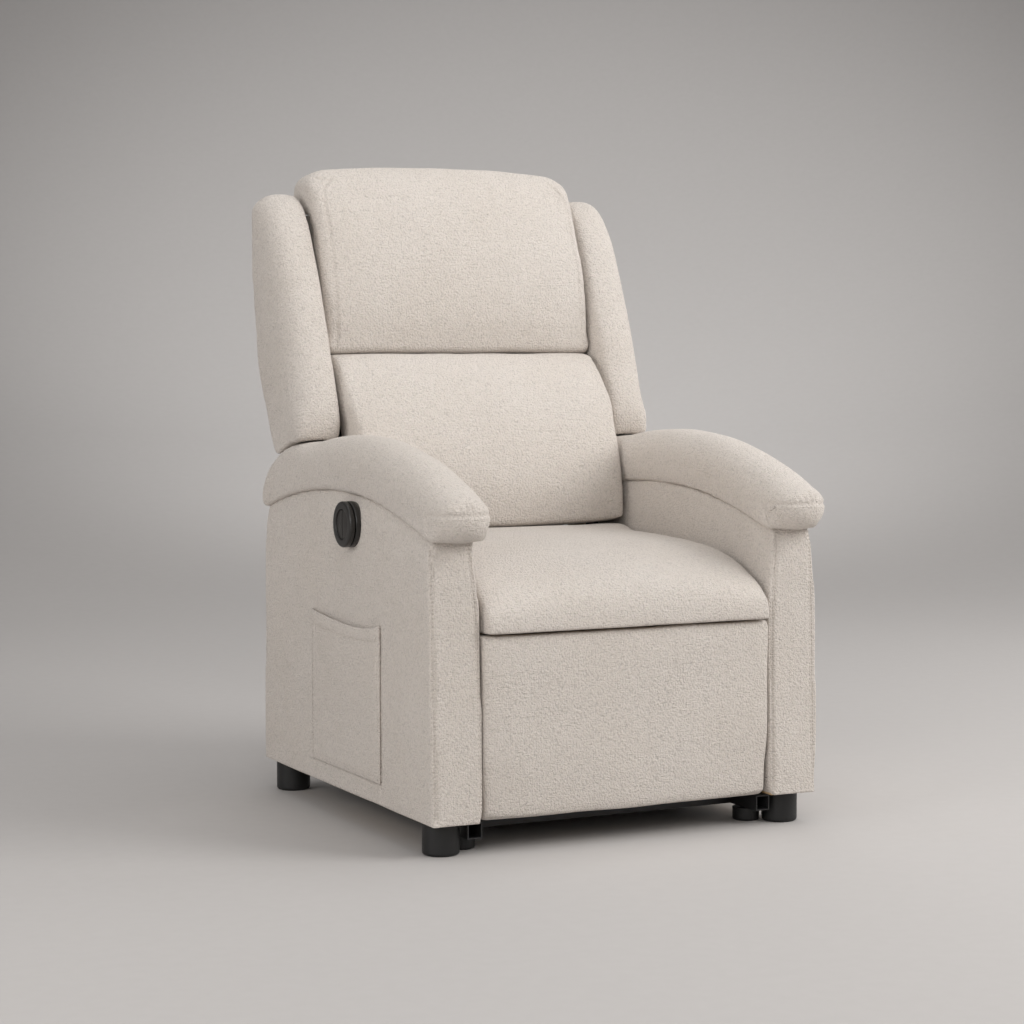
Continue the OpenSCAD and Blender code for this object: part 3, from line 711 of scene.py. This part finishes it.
# Seamless pale studio: a round floor that sweeps up into a wall on every side
FLOOR_R, SWEEP_R, WALL_H = 3.0, 6.0, 9.0
SWEEP_STEPS, STAGE_SEGMENTS = 18, 96
sweep = [(0.6, 0.0), (1.6, 0.0), (FLOOR_R, 0.0)]
for k in range(1, SWEEP_STEPS + 1):
    ang = math.radians(90 * k / SWEEP_STEPS)
    sweep.append((FLOOR_R + SWEEP_R * math.sin(ang), SWEEP_R - SWEEP_R * math.cos(ang)))
sweep.append((FLOOR_R + SWEEP_R, WALL_H))
stage_verts, stage_faces = [Vector((0, 0, 0))], []
for radius, height in sweep:
    for k in range(STAGE_SEGMENTS):
        ang = 2 * math.pi * k / STAGE_SEGMENTS
        stage_verts.append(Vector((radius * math.cos(ang), radius * math.sin(ang), height)))
for k in range(STAGE_SEGMENTS):
    k2 = (k + 1) % STAGE_SEGMENTS
    stage_faces.append((0, 1 + k, 1 + k2))
    for r in range(len(sweep) - 1):
        a, b = 1 + r * STAGE_SEGMENTS, 1 + (r + 1) * STAGE_SEGMENTS
        stage_faces.append((a + k, b + k, b + k2, a + k2))
backdrop = new_object("backdrop", stage_verts, stage_faces)
shade_smooth(backdrop)
stage_mat, stage_tree, stage_bsdf = material("studio_paper")
paper = add(stage_tree, "ShaderNodeTexNoise", in_Scale=40.0, in_Detail=3.0)
object_coords(stage_tree, paper)
PAPER_DARK, PAPER_LIGHT = (0.510, 0.490, 0.475), (0.520, 0.500, 0.485)
stage_tone = ramp(stage_tree, paper.outputs["Fac"], [(0.3, PAPER_DARK), (0.7, PAPER_LIGHT)])
stage_tree.links.new(stage_tone, stage_bsdf.inputs["Base Color"])
stage_bsdf.inputs["Roughness"].default_value = 0.85
stage_bsdf.inputs["Specular IOR Level"].default_value = 0.1
backdrop.data.materials.append(stage_mat)

# ------ seat cushion
SEAT_OUTLINE = round_corners([
    (-4, 339), (-4, 352), (-2, 372), (5, 390), (17, 404), (33, 415), (85, 439), (130, 452),
    (180, 460), (240, 464), (440, 464), (480, 463), (502, 459), (504, 448), (504, 360), (500, 339)], 1)


def seat_share(y, z):
    """The bottom edge and the rear, which the lumbar cushion hides, stay square."""
    return smoothstep(SEAT_LO.z + 0.015, SEAT_LO.z + 0.07, z) * smoothstep(DEPTH0 + 0.50, DEPTH0 + 0.40, y)


seat = cushion("seat_cushion_cover", SEAT_OUTLINE, SEAT_LO.x + 0.002, SEAT_HI.x - 0.002,
               0.020, 0.085, seat_share)
relax_where(seat, 6, lambda c: smoothstep(SEAT_LO.z + 0.012, SEAT_LO.z + 0.045, c[:, 2]))

# ------ lumbar and head cushions
SPLIT = (LUMBAR_HI.z + HEAD_LO.z) / 2
LUMBAR_OUTLINE = round_corners([
    (470, 461), (462, 492), (468, 545), (484, 607), (504, 652), (534, 699), (568, 735),
    (596, 752), (604, 757), (646, 757), (640, 730), (566, 461)], 1)


def lumbar_share(y, z):
    return smoothstep(DEPTH0 + 0.64, DEPTH0 + 0.60, y) * (0.35 + 0.65 * smoothstep(SPLIT, SPLIT - 0.05, z))


def lumbar_soft(c):
    return (smoothstep(SPLIT, SPLIT - 0.03, c[:, 2])
            * smoothstep(LUMBAR_LO.z, LUMBAR_LO.z + 0.03, c[:, 2]))


lumbar = cushion("lumbar_cushion_cover", LUMBAR_OUTLINE, LUMBAR_LO.x + 0.001, LUMBAR_HI.x - 0.001,
                 0.013, 0.06, lumbar_share)
relax_where(lumbar, 8, lumbar_soft)

HEAD_OUTLINE = round_corners([
    (610, 761), (603, 800), (607, 860), (619, 914), (634, 956), (655, 1008), (680, 1052),
    (700, 1074), (724, 1088), (752, 1082), (772, 1060), (784, 1027), (789, 1001),
    (745, 1001), (706, 998), (690, 930), (652, 761)], 1)


def head_share(y, z):
    """The leaning front face takes the rounding, and so does the roll at the top."""
    front = smoothstep(0.035, 0.012, y - DEPTH0 - 0.600 - 0.30 * (z - 0.800))
    roll = smoothstep(1.03, 1.06, z) * smoothstep(0.775, 0.745, y - DEPTH0)
    return (0.35 + 0.65 * smoothstep(SPLIT, SPLIT + 0.05, z)) * max(front, roll)


def head_soft(c):
    """The edge on the lumbar cushion and the rear lower edge stay firm."""
    lower_edge = smoothstep(DEPTH0 + 0.69, DEPTH0 + 0.71, c[:, 1]) * smoothstep(1.035, 1.015, c[:, 2])
    return (smoothstep(SPLIT, SPLIT + 0.03, c[:, 2])
            * smoothstep(DEPTH0 + 0.785, DEPTH0 + 0.74, c[:, 1]) * (1 - lower_edge))


head = cushion("head_cushion_cover", HEAD_OUTLINE, HEAD_LO.x + 0.001, HEAD_HI.x - 0.001,
               0.021, 0.075, head_share)
relax_where(head, 8, head_soft)

# ------ wings
# The foot of a wing is a circle about the recline pivot, so that it swings clear of the arm
RECLINE_PIVOT = (537, 351)
WING_FOOT_R = 267.5
WING_FOOT_Z = 0.5905
WING_OUTLINE = round_corners([
    (552, 619), (542, 644), (545, 676), (571, 747), (610, 855), (659, 963), (690, 1006),
    (715, 1028), (738, 1037), (760, 1033), (777, 1013), (780, 985), (775, 853), (752, 735),
    (733, 690), (708, 643), (684, 609), (668, 593)]
    + [on_circle(RECLINE_PIVOT, WING_FOOT_R, d) for d in (655, 640, 620, 600, 580, 565)], 2)


def wing_share(y, z):
    """Most at the leaning front edge, least at the foot."""
    front = smoothstep(0.02, -0.02, (y - DEPTH0 - 0.62) - 0.33 * (z - 0.60))
    from_pivot = math.hypot(y - DEPTH0 - RECLINE_PIVOT[0] * MM, z - RECLINE_PIVOT[1] * MM)
    return (0.5 + 0.5 * front) * (0.2 + 0.8 * smoothstep(0.265, 0.350, from_pivot))


wings = {}
for side, sign in SIDES:
    x0, x1 = span(sign, WING_LO.x - 0.002, WING_HI.x - 0.001)
    skew = (1.0, 0.22) if side == "left" else (0.22, 1.0)
    wing = cushion(side + "_wing_cover", WING_OUTLINE, x0, x1, 0.034, 0.10, wing_share, skew)
    relax(wing, 18)
    wings[side] = wing

# ------ arm pads
ARCH_C, ARCH_R = (380, -660), 1200
CROWN_C, CROWN_R = (345, -270), 898
NOSE_C, NOSE_R = (-9, 520), 36


def arch_height(depth):
    """Height of the seam between pad and side panel, at metres behind the front plane."""
    return ARCH_C[1] * MM + np.sqrt((ARCH_R * MM) ** 2 - (depth - ARCH_C[0] * MM) ** 2)


# Along the arch to the front, round the nose, back along the crown, and down at the rear
PAD_OUTLINE = [on_circle(ARCH_C, ARCH_R - 0.5, d) for d in np.linspace(700, 25, 34)]
PAD_OUTLINE += [(10, 484), (-8, 483)]
PAD_OUTLINE += arc(NOSE_C, NOSE_R, 262, 122, 12)
PAD_OUTLINE += [on_circle(CROWN_C, CROWN_R, d) for d in np.linspace(-5, 515, 33)]
PAD_OUTLINE += [
    (540, 609), (560, 608.4), (580, 606.6), (600, 603.4), (620, 598.6), (640, 591.5), (660, 582),
    (680, 570.5), (696, 558.5), (708, 544), (716, 530), (716, 514), (708, 500)]


def pad_share(y, z):
    """All of the rounding on the top, the nose and the rear end, none along the seam below."""
    arch = arch_height(np.clip(y - DEPTH0, -0.011, 0.700))
    under_wing = 1 - 0.75 * smoothstep(0.46, 0.56, y - DEPTH0)
    return max(smoothstep(arch + 0.006, arch + 0.035, z) * under_wing,
               smoothstep(DEPTH0 + 0.012, DEPTH0 - 0.02, y))


def pad_soft(c):
    top = smoothstep(-0.004, 0.03, c[:, 2] - arch_height(c[:, 1] - DEPTH0))
    return top + smoothstep(DEPTH0 + 0.02, DEPTH0 - 0.01, c[:, 1]) * (1 - top)


pads = {}
for side, sign in SIDES:
    x0, x1 = span(sign, PAD_LO.x + 0.001, PAD_HI.x - 0.001)
    pad = cushion(side + "_arm_pad_cover", PAD_OUTLINE, x0, x1, 0.034, 0.085, pad_share, voxel=VOXEL * 0.9)
    co = read(pad)
    mid = sign * (PAD_LO.x + PAD_HI.x) / 2
    nose = np.clip((DEPTH0 + 0.030 - co[:, 1]) / 0.078, 0, 1)
    co[:, 0] = mid - 0.002 * nose + (co[:, 0] - mid) * (1 - 0.20 * nose ** 2.4)
    write(pad, co)
    relax_where(pad, 16, pad_soft)
    pads[side] = pad

# ------ footrest pad
FOOT_OUTLINE = round_corners([
    (10, 52), (4, 56), (1, 67), (0, 120), (0, 270), (1, 320), (5, 330), (12, 334), (60, 334), (60, 52)], 1)


def foot_share(y, z):
    return smoothstep(DEPTH0 + 0.02, DEPTH0 + 0.008, y) * (0.35 + 0.65 * smoothstep(0.16, 0.09, z))


foot = cushion("footrest_cover", FOOT_OUTLINE, FOOT_LO.x + 0.001, FOOT_HI.x - 0.001,
               0.009, 0.05, foot_share, smooth=2)

# ------ stuffing and fit
DEEP_CAP, SLIM_CAP, BOARD_CAP = 0.022, 0.014, 0.004
puff_all([
    (seat, 3.5, DEEP_CAP), (lumbar, 3.5, DEEP_CAP), (head, 3.5, DEEP_CAP),
    (wings["left"], 3.0, SLIM_CAP), (wings["right"], 3.0, SLIM_CAP),
    (pads["left"], 3.5, SLIM_CAP), (pads["right"], 3.5, SLIM_CAP), (foot, 1.0, BOARD_CAP),
])
cushions = (seat, lumbar, head, foot, *wings.values(), *pads.values())
for obj in cushions:
    relax(obj, 2)
    subdivide(obj)

# Each cushion is let out by a little, until it just meets its neighbours
SIDE_EASE = 0.003
SEAT_EASE, FOOT_EASE = 0.0022, 0.0026
fit(seat, (SEAT_LO.x - SEAT_EASE, SEAT_LO.y, SEAT_LO.z - 0.0008),
    (SEAT_HI.x + SEAT_EASE, SEAT_HI.y, SEAT_HI.z))
fit(lumbar, (LUMBAR_LO.x - SIDE_EASE / 2, LUMBAR_LO.y - 0.004, SEAT_HI.z - 0.0068),
    (LUMBAR_HI.x + SIDE_EASE / 2, LUMBAR_HI.y, SPLIT))
widen(lumbar, 0.028, 0.62, 0.68)
fit(head, (HEAD_LO.x - SIDE_EASE, HEAD_LO.y, SPLIT), (HEAD_HI.x + SIDE_EASE, HEAD_HI.y + 0.004, HEAD_HI.z))
round_top_corners(head, 0.040)
fit(foot, (FOOT_LO.x - FOOT_EASE, FOOT_LO.y, FOOT_LO.z),
    (FOOT_HI.x + FOOT_EASE, FOOT_HI.y, FOOT_HI.z + 0.0012))
tighten(seat, 0.022)
tighten(foot, 0.012, side=1)
for end in (-1, 1):
    tighten(foot, 0.010, axis=0, side=end)
widen(foot, -0.012, 0.17, 0.051)
for side, sign in SIDES:
    wing_lo, wing_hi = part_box(side + "_wing")
    fit(wings[side], (wing_lo.x, wing_lo.y, WING_FOOT_Z), (wing_hi.x, wing_hi.y, wing_hi.z - 0.006))
    co = read(wings[side])
    co[:, 0] -= sign * 0.0038 * smoothstep(WING_HI.x, WING_LO.x, np.abs(co[:, 0]))
    write(wings[side], co)
    fit(pads[side], *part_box(side + "_arm_pad"))

for index, obj in enumerate(cushions):
    soft_noise(obj, 0.09, 0.0014, index + 1)

# The foot of each wing follows the crown of its arm pad, just far enough out to swing over it
SWING_GAP = 0.0015
STRIPS = 24
pivot = np.array((DEPTH0 + RECLINE_PIVOT[0] * MM, RECLINE_PIVOT[1] * MM))
for side, wing in wings.items():
    pad_co = read(pads[side])
    pad_co = pad_co[pad_co[:, 1] > DEPTH0 + 0.55]
    edges = np.linspace(PAD_LO.x, PAD_HI.x, STRIPS + 1)
    strip = np.clip(np.searchsorted(edges, np.abs(pad_co[:, 0])) - 1, 0, STRIPS - 1)
    crown = np.zeros(STRIPS)
    np.maximum.at(crown, strip, np.linalg.norm(pad_co[:, 1:] - pivot, axis=1))
    crown = np.maximum(crown, np.maximum(np.roll(crown, 1), np.roll(crown, -1)) - 0.004)
    co = read(wing)
    arm = co[:, 1:] - pivot
    far = np.linalg.norm(arm, axis=1)
    least = np.interp(np.abs(co[:, 0]), (edges[1:] + edges[:-1]) / 2, crown) + SWING_GAP
    near = smoothstep(WING_FOOT_R * MM + 0.05, WING_FOOT_R * MM, far)
    want = np.maximum(far + (least - WING_FOOT_R * MM) * near, least)
    co[:, 1:] = pivot + arm * (want / far)[:, None]
    write(wing, co)

# Boxing seams of the head cushion, and the creases where its corners are folded
BOXING = ((243, 604, 768), (243, 604, 850), (243, 620, 930), (242, 654, 1010), (238, 680, 1046))
FOLDS = (
    (((237, 680, 1046), (226, 688, 1062), (212, 694, 1074)), 0.0034),
    (((243, 712, 1062), (232, 706, 1064), (224, 700, 1060)), 0.0030),
)
head_tree = surface(head)
head_runs = []
for sign in (-1, 1):
    boxing = snap(head_tree, mirrored(sign, BOXING), 0.012)
    groove(head, boxing, 0.0032, 0.0022, 0.0005)
    head_runs.append((boxing, 0.0034))
    for fold, deep in FOLDS:
        groove(head, snap(head_tree, mirrored(sign, fold), 0.006), 0.0030, deep, 0.0006)
upholster(seat, CHAIR, ["seat_cushion"])
upholster(lumbar, BACK, ["lumbar_cushion"])
upholster(head, BACK, ["head_cushion"])
upholster(foot, FOOTREST, ["footrest_pad"])
stitches("head_stitching", head_runs, head, BACK, pitch=0.0055, length=0.0036, radius=0.0004)
for side, wing in wings.items():
    upholster(wing, BACK, [side + "_wing"])

# Nose of each arm pad: a cross seam, with gathers above it as (across, tall, deep) in mm
SEAM_Z = 524
GATHERS = ((-31, 10, 0.9), (-22, 14, 1.3), (-11, 11, 1.0), (0, 24, 2.6), (9, 19, 2.0), (20, 15, 1.4),
           (31, 10, 0.9))
for side, sign in SIDES:
    pad = pads[side]
    outer, inner = sign * (PAD_HI.x / MM), sign * (PAD_LO.x / MM)
    mid = (outer + inner) / 2
    half = [(0, 10, 484), (0, 16, 505), (0, 14, SEAM_Z - 2), (4, -20, SEAM_Z), (22, -44, SEAM_Z + 1)]
    cap_line = [at(outer - sign * dx, depth, z) for dx, depth, z in half]
    cap_line.append(at(mid, -48, SEAM_Z + 1))
    cap_line += [at(inner + sign * dx, depth, z) for dx, depth, z in reversed(half)]
    tree = surface(pad)
    groove(pad, snap(tree, cap_line, 0.004), 0.0030, 0.0018, 0.0003)
    for dx, tall, deep in GATHERS:
        x = mid + sign * dx
        gather = ((x, -48, SEAM_Z + 2), (x + 1.5, -46, SEAM_Z + tall / 2), (x - 1, -40, SEAM_Z + tall))
        gather = [tree.find_nearest(at(*p))[0] for p in gather]
        groove(pad, gather, 0.0022, deep * MM, 0.0005)
    upholster(pad, CHAIR, [side + "_arm_pad"])

# ------ side panels
cover_outline = [(0.3, 51), (5, 180), (10, 310), (16.4, 482)]
cover_outline += [on_circle(ARCH_C, ARCH_R, d) for d in np.linspace(18, 699, 40)]
cover_outline += [(703, 400), (708, 200), (711.7, 51)]
BEZEL_LO, BEZEL_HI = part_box("switch_bezel")
POCKET_FRONT = (POCKET_LO.y - DEPTH0) / MM
CONTROL_DEPTH = ((BEZEL_LO.y + BEZEL_HI.y) / 2 - DEPTH0) / MM
# The front strip's seams, as (in from the face, depth, height): one at each of its two edges
OUTER_SEAM = ((5, -1, 58), (5, 3, 150), (5, 8, 300), (5, 14, 430), (5, 16, 478))
INNER_SEAM = ((7, 1, 58), (7, 5, 180), (8, 10, 320), (14, 14, 410), (22, 18, 478))
for side, sign in SIDES:
    cover = prism(side + "_side_panel_cover", cover_outline, *span(sign, COVER_LO.x, COVER_HI.x))
    remesh(cover, 0.0062, 5)
    subdivide(cover)
    fit(cover, *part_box(side + "_side_cover"))
    co = read(cover)
    # the inner face: flares to the pad at the front, eases onto the seat, and tucks under below
    inner = smoothstep(COVER_HI.x - 0.030, COVER_LO.x, np.abs(co[:, 0]))
    near_front = smoothstep(DEPTH0 + 0.075, DEPTH0 + 0.01, co[:, 1])
    high = smoothstep(0.340, 0.470, co[:, 2])
    co[:, 0] += sign * 0.011 * inner * near_front * high ** 1.5
    co[:, 0] += sign * 0.0024 * smoothstep(COVER_LO.x + 0.012, COVER_LO.x, np.abs(co[:, 0]))
    low = smoothstep(0.075, 0.051, co[:, 2])
    co[:, 0] += sign * 0.007 * smoothstep(COVER_LO.x + 0.03, COVER_LO.x, np.abs(co[:, 0])) * low
    # the outer face: turns in under the pad, and swells a little where there is no pocket
    arch = arch_height(np.clip(co[:, 1] - DEPTH0, 0, 0.7))
    outer = smoothstep(COVER_HI.x - 0.02, COVER_HI.x, np.abs(co[:, 0]))
    co[:, 0] -= sign * 0.0055 * outer * smoothstep(arch - 0.050, arch, co[:, 2]) ** 1.5
    if side == "right":
        below_arch = smoothstep(arch - 0.02, arch - 0.12, co[:, 2])
        co[:, 0] += 0.0055 * outer * smoothstep(0.06, 0.16, co[:, 2]) * below_arch
    write(cover, co)
    tighten(cover, 0.024)
    soft_noise(cover, 0.11, 0.0012, 11 + sign)
    outer_mm, inner_mm = sign * COVER_HI.x / MM, sign * COVER_LO.x / MM
    outer_seam = [at(outer_mm - sign * dx, depth, z) for dx, depth, z in OUTER_SEAM]
    inner_seam = [at(inner_mm + sign * dx, depth, z) for dx, depth, z in INNER_SEAM]
    seam_runs = []
    tree = surface(cover)
    for run in (outer_seam, inner_seam):
        run = snap(tree, run, 0.02)
        groove(cover, run, 0.0032, 0.0024, 0.0005)
        seam_runs += [(run, 0.0032), (run, -0.0032)]
    if side == "left":
        drop = [tree.find_nearest(at(outer_mm, POCKET_FRONT, z))[0] for z in (54, 62, 70, 78, 88)]
        groove(cover, drop, 0.0030, 0.0022, 0.0004)
        edge = [at(outer_mm, POCKET_FRONT - 1.5, z) for z in (POCKET_LO.z / MM - 6, POCKET_HI.z / MM - 3)]
        groove(cover, snap(tree, edge, 0.006), 0.0030, 0.0030, 0.0)
        rise = [tree.find_nearest(at(outer_mm, CONTROL_DEPTH, z))[0] for z in (526, 531, 536)]
        groove(cover, rise, 0.0026, 0.0016, 0.0003)
    upholster(cover, CHAIR, [side + "_side_cover"])
    stitches(side + "_front_stitching", seam_runs, cover, CHAIR)

# ------ pocket
# A patch of doubled fabric, sewn on at the rear, bottom and front, with a turned hem at its mouth
POCKET_T = 0.0024
POCKET_COLS, POCKET_ROWS = 88, 84
POCKET_BOTTOM = POCKET_LO.z - 0.004
HEM = 0.025
SAG = 0.0105
SEWN_SHARE = 0.045


def mouth_sag(u):
    """How far the mouth hangs below a straight line, at the share u of its length."""
    return SAG * math.sin(math.pi * u ** 0.62)


def pocket_lift(u, v, y, z, below_mouth):
    """How far the patch stands off the panel: its belly, hem, ripple and the pull at the hem."""
    sewn = min(1.0, u / SEWN_SHARE, (1 - u) / SEWN_SHARE, v / SEWN_SHARE)
    belly = 0.35 + 0.65 * math.sin(math.pi * u) ** 0.7
    lift = smoothstep(0.0, 1.0, sewn) * belly * (0.0012 + 0.0050 * smoothstep(0.15, 1.0, v))
    lift -= 0.0010 * math.exp(-((below_mouth - HEM) / 0.0026) ** 2)
    lift += 0.0009 * smoothstep(HEM + 0.004, HEM - 0.002, below_mouth)
    lift += 0.0008 * noise.noise(Vector((y * 20, z * 13, 4.2))) * sewn
    return lift + 0.0007 * math.sin(u * 34) * math.exp(-((below_mouth - HEM - 0.012) / 0.014) ** 2) * sewn


verts, faces = [], []
for r in range(POCKET_ROWS + 1):
    v = r / POCKET_ROWS
    for c in range(POCKET_COLS + 1):
        u = c / POCKET_COLS
        sag = mouth_sag(u) * v ** 6
        y = POCKET_LO.y + u * (POCKET_HI.y - POCKET_LO.y)
        z = POCKET_BOTTOM + v * (POCKET_HI.z - POCKET_BOTTOM) - sag
        lift = pocket_lift(u, v, y, z, POCKET_HI.z - sag - z)
        verts.append((-COVER_HI.x - 0.0022 - lift, y, z))
row = POCKET_COLS + 1
for r in range(POCKET_ROWS):
    for a in range(r * row, r * row + POCKET_COLS):
        faces.append((a, a + 1, a + row + 1, a + row))
# the sewn edges turn in to the panel
rim = [r * row for r in range(POCKET_ROWS, -1, -1)]
rim += list(range(1, row))
rim += [r * row + POCKET_COLS for r in range(1, POCKET_ROWS + 1)]
first = len(verts)
verts += [(-COVER_HI.x + 0.0006, *verts[i][1:]) for i in rim]
for k in range(len(rim) - 1):
    faces.append((rim[k], rim[k + 1], first + k + 1, first + k))
pocket = new_object("pocket_patch", verts, faces)
face_outward(pocket)
modify(pocket, "SOLIDIFY", thickness=POCKET_T, offset=-1)
bake_modifiers(pocket)
upholster(pocket, CHAIR, ["side_pocket"])

# Stitch lines: along the hem, close to the three sewn edges, and a second one inside the bottom
OFF_FACE = -COVER_HI.x - 0.012
F, R, TOP = POCKET_LO.y, POCKET_HI.y, POCKET_HI.z - 0.006


def pocket_run(y0, z0, y1, z1):
    """A straight run of points just outside the pocket's face."""
    return [(OFF_FACE, y0 + (y1 - y0) * t, z0 + (z1 - z0) * t) for t in np.linspace(0, 1, 12)]


def bottom_run(inset):
    return pocket_run(F + inset, POCKET_BOTTOM + inset, R - inset, POCKET_BOTTOM + inset)


hem_run = [(OFF_FACE, F + u * (R - F), POCKET_HI.z - HEM - 0.55 * mouth_sag(u))
           for u in np.linspace(0.02, 0.98, 14)]
pocket_runs = [hem_run] + [pocket_run(y, TOP, y, POCKET_BOTTOM + 0.004) for y in (F + 0.004, R - 0.004)]
pocket_runs += [bottom_run(0.004), bottom_run(0.012)]
stitches("pocket_stitching", [(run, 0.0) for run in pocket_runs], pocket, CHAIR,
         pitch=0.0055, length=0.0038, radius=0.00045)

# ------ hand control
CONTROL = Vector((-COVER_HI.x, (BEZEL_LO.y + BEZEL_HI.y) / 2, (BEZEL_LO.z + BEZEL_HI.z) / 2))
CONTROL_R = (BEZEL_HI.y - BEZEL_LO.y) / 2
OUT = CONTROL.x - BEZEL_LO.x
BORE_R = 0.024
NECK_R = 0.0322
FLANGE_T, RING_IN = OUT * 0.45, OUT * 0.55
OUTWARD = (-1, 0, 0)
CONTROL_SEGMENTS = 96


def fillet(r, h, size, start, stop, count=6):
    """Quarter-round points of a turned profile, centred at (r, h)."""
    return [(r + size * math.cos(math.radians(a)), h + size * math.sin(math.radians(a)))
            for a in np.linspace(start, stop, count)]


flange_profile = [(0.020, -0.004), (CONTROL_R - 0.001, -0.004)]
flange_profile += fillet(CONTROL_R - 0.0006, 0.0004, 0.0006, -60, 0, 3)
flange_profile += fillet(CONTROL_R - 0.0022, FLANGE_T - 0.0022, 0.0022, 0, 90)
flange_profile += [(NECK_R + 0.0003, FLANGE_T), (NECK_R, FLANGE_T + 0.0008)]
flange_profile += [(NECK_R, RING_IN + 0.001), (0.020, RING_IN + 0.001)]
ring_profile = [(BORE_R, RING_IN), (CONTROL_R - 0.002, RING_IN)]
ring_profile += fillet(CONTROL_R - 0.0016, RING_IN + 0.0016, 0.0016, -70, 0, 5)
ring_profile += fillet(CONTROL_R - 0.0034, OUT - 0.0034, 0.0034, 0, 90, 8)
ring_profile += [(BORE_R + 0.0026, OUT)] + fillet(BORE_R + 0.0022, OUT - 0.0018, 0.0018, 90, 180, 6)
ring_profile += [(BORE_R + 0.0004, OUT - 0.0050)]
for name, profile, node in (("control_flange", flange_profile, "switch_housing"),
                            ("control_ring", ring_profile, "switch_bezel")):
    turned = lathe(name, profile, CONTROL, OUTWARD, CONTROL_SEGMENTS)
    finish_piece(turned, CHAIR, "control_plastic", [node])
CAP_R, CAP_GAP = BORE_R - 0.0007, 0.0005
for name, sign in (("front", -1), ("rear", 1)):
    outline = []
    for a in np.radians(np.linspace(1, 179, 40)):
        y = CONTROL.y + sign * (CAP_GAP + (CAP_R - CAP_GAP) * math.sin(a))
        outline.append(((y - DEPTH0) / MM, (CONTROL.z + CAP_R * math.cos(a)) / MM))
    cap = plate(name + "_button_cap", outline, CONTROL.x - OUT + 0.0018, CONTROL.x - OUT + 0.008, 0.0009)
    finish_piece(cap, name + "_button", "button_plastic", [name + "_button"])

# ------ rear covers
PANEL_LO, PANEL_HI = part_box("back_panel")
PANEL_OUTLINE = [(736, 462), (750, 462), (773, 620), (792, 760), (800, 840), (805, 900), (806, 960),
                 (806, 1003), (788, 1003), (789, 900), (777, 760)]
back_cover = prism("back_panel_cover", PANEL_OUTLINE, PANEL_LO.x, PANEL_HI.x)
remesh(back_cover, 0.0048, 3)
subdivide(back_cover)
fit(back_cover, PANEL_LO, PANEL_HI)
soft_noise(back_cover, 0.16, 0.0012, 21)
SIDE_HEM = ((236, 760, 474), (236, 784, 640), (236, 800, 780), (236, 812, 900), (236, 812, 992))
LOW_HEM = ((-244, 758, 484), (0, 758, 484), (244, 758, 484))
panel_tree = surface(back_cover)
hems = [snap(panel_tree, run, 0.02)
        for run in (mirrored(-1, SIDE_HEM), mirrored(1, SIDE_HEM), mirrored(1, LOW_HEM))]
for run in hems:
    groove(back_cover, run, 0.0030, 0.0014, 0.0004)
upholster(back_cover, BACK, ["back_panel"])
hem_runs = [(run, aside) for run in hems for aside in (0.003, -0.003)]
stitches("back_panel_stitching", hem_runs, back_cover, BACK)

HEEL_R, HEEL_T = 157, 7
HEEL_LO, HEEL_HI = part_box("back_heel")
BOARD_EDGE = 0.0015
LEDGE_OUTLINE = [(669, 421), (676, 424), (735, 461), (735, 469), (730, 469), (668, 428)]
BACK_SIDE_OUTLINE = [(583, 510), (741, 510), (774, 760), (786, 900), (786, 1001), (709, 1001), (656, 762)]
heel_outline = arc(RECLINE_PIVOT, HEEL_R, -50, 28, 40) + arc(RECLINE_PIVOT, HEEL_R - HEEL_T, 28, -50, 40)
heel = plate("heel_cover", heel_outline, HEEL_LO.x, HEEL_HI.x, BOARD_EDGE)
ledge = plate("ledge_cover", LEDGE_OUTLINE, HEEL_LO.x, HEEL_HI.x, BOARD_EDGE)
upholster(heel, BACK, ["back_heel"])
upholster(ledge, BACK)
BACK_SIDE_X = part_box("back_side_panels")[1].x
for side, sign in SIDES:
    x0, x1 = span(sign, BACK_SIDE_X - 0.006, BACK_SIDE_X)
    board = plate(side + "_back_side_cover", BACK_SIDE_OUTLINE, x0, x1, BOARD_EDGE)
    upholster(board, BACK, ["back_side_panels"])

REAR_LO, REAR_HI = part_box("rear_panel")
INLET_LO, INLET_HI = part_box("power_inlet")
rear = prism("rear_panel_cover", [(698, 51), (712, 51), (712, 290), (698, 290)], REAR_LO.x, REAR_HI.x)
hole_low, hole_top = INLET_LO.z / MM + 4, INLET_HI.z / MM - 4
hole = prism("socket_cut", [(680, hole_low), (730, hole_low), (730, hole_top), (680, hole_top)],
             INLET_LO.x + 0.004, INLET_HI.x - 0.004)
modify(rear, "BOOLEAN", operation="DIFFERENCE", object=hole, solver="EXACT")
bake_modifiers(rear)
bpy.data.objects.remove(hole)
remesh(rear, 0.0040, 3)
subdivide(rear)
fit(rear, REAR_LO, REAR_HI)
soft_noise(rear, 0.14, 0.0010, 23)
hems = [[at(x, 712, z) for x in (-240, 0, 240)] for z in (66, 276)]
for run in hems:
    groove(rear, run, 0.0030, 0.0014, 0.0004)
upholster(rear, CHAIR, ["rear_panel"])
stitches("rear_panel_stitching", [(run, 0.0) for run in hems], rear, CHAIR)
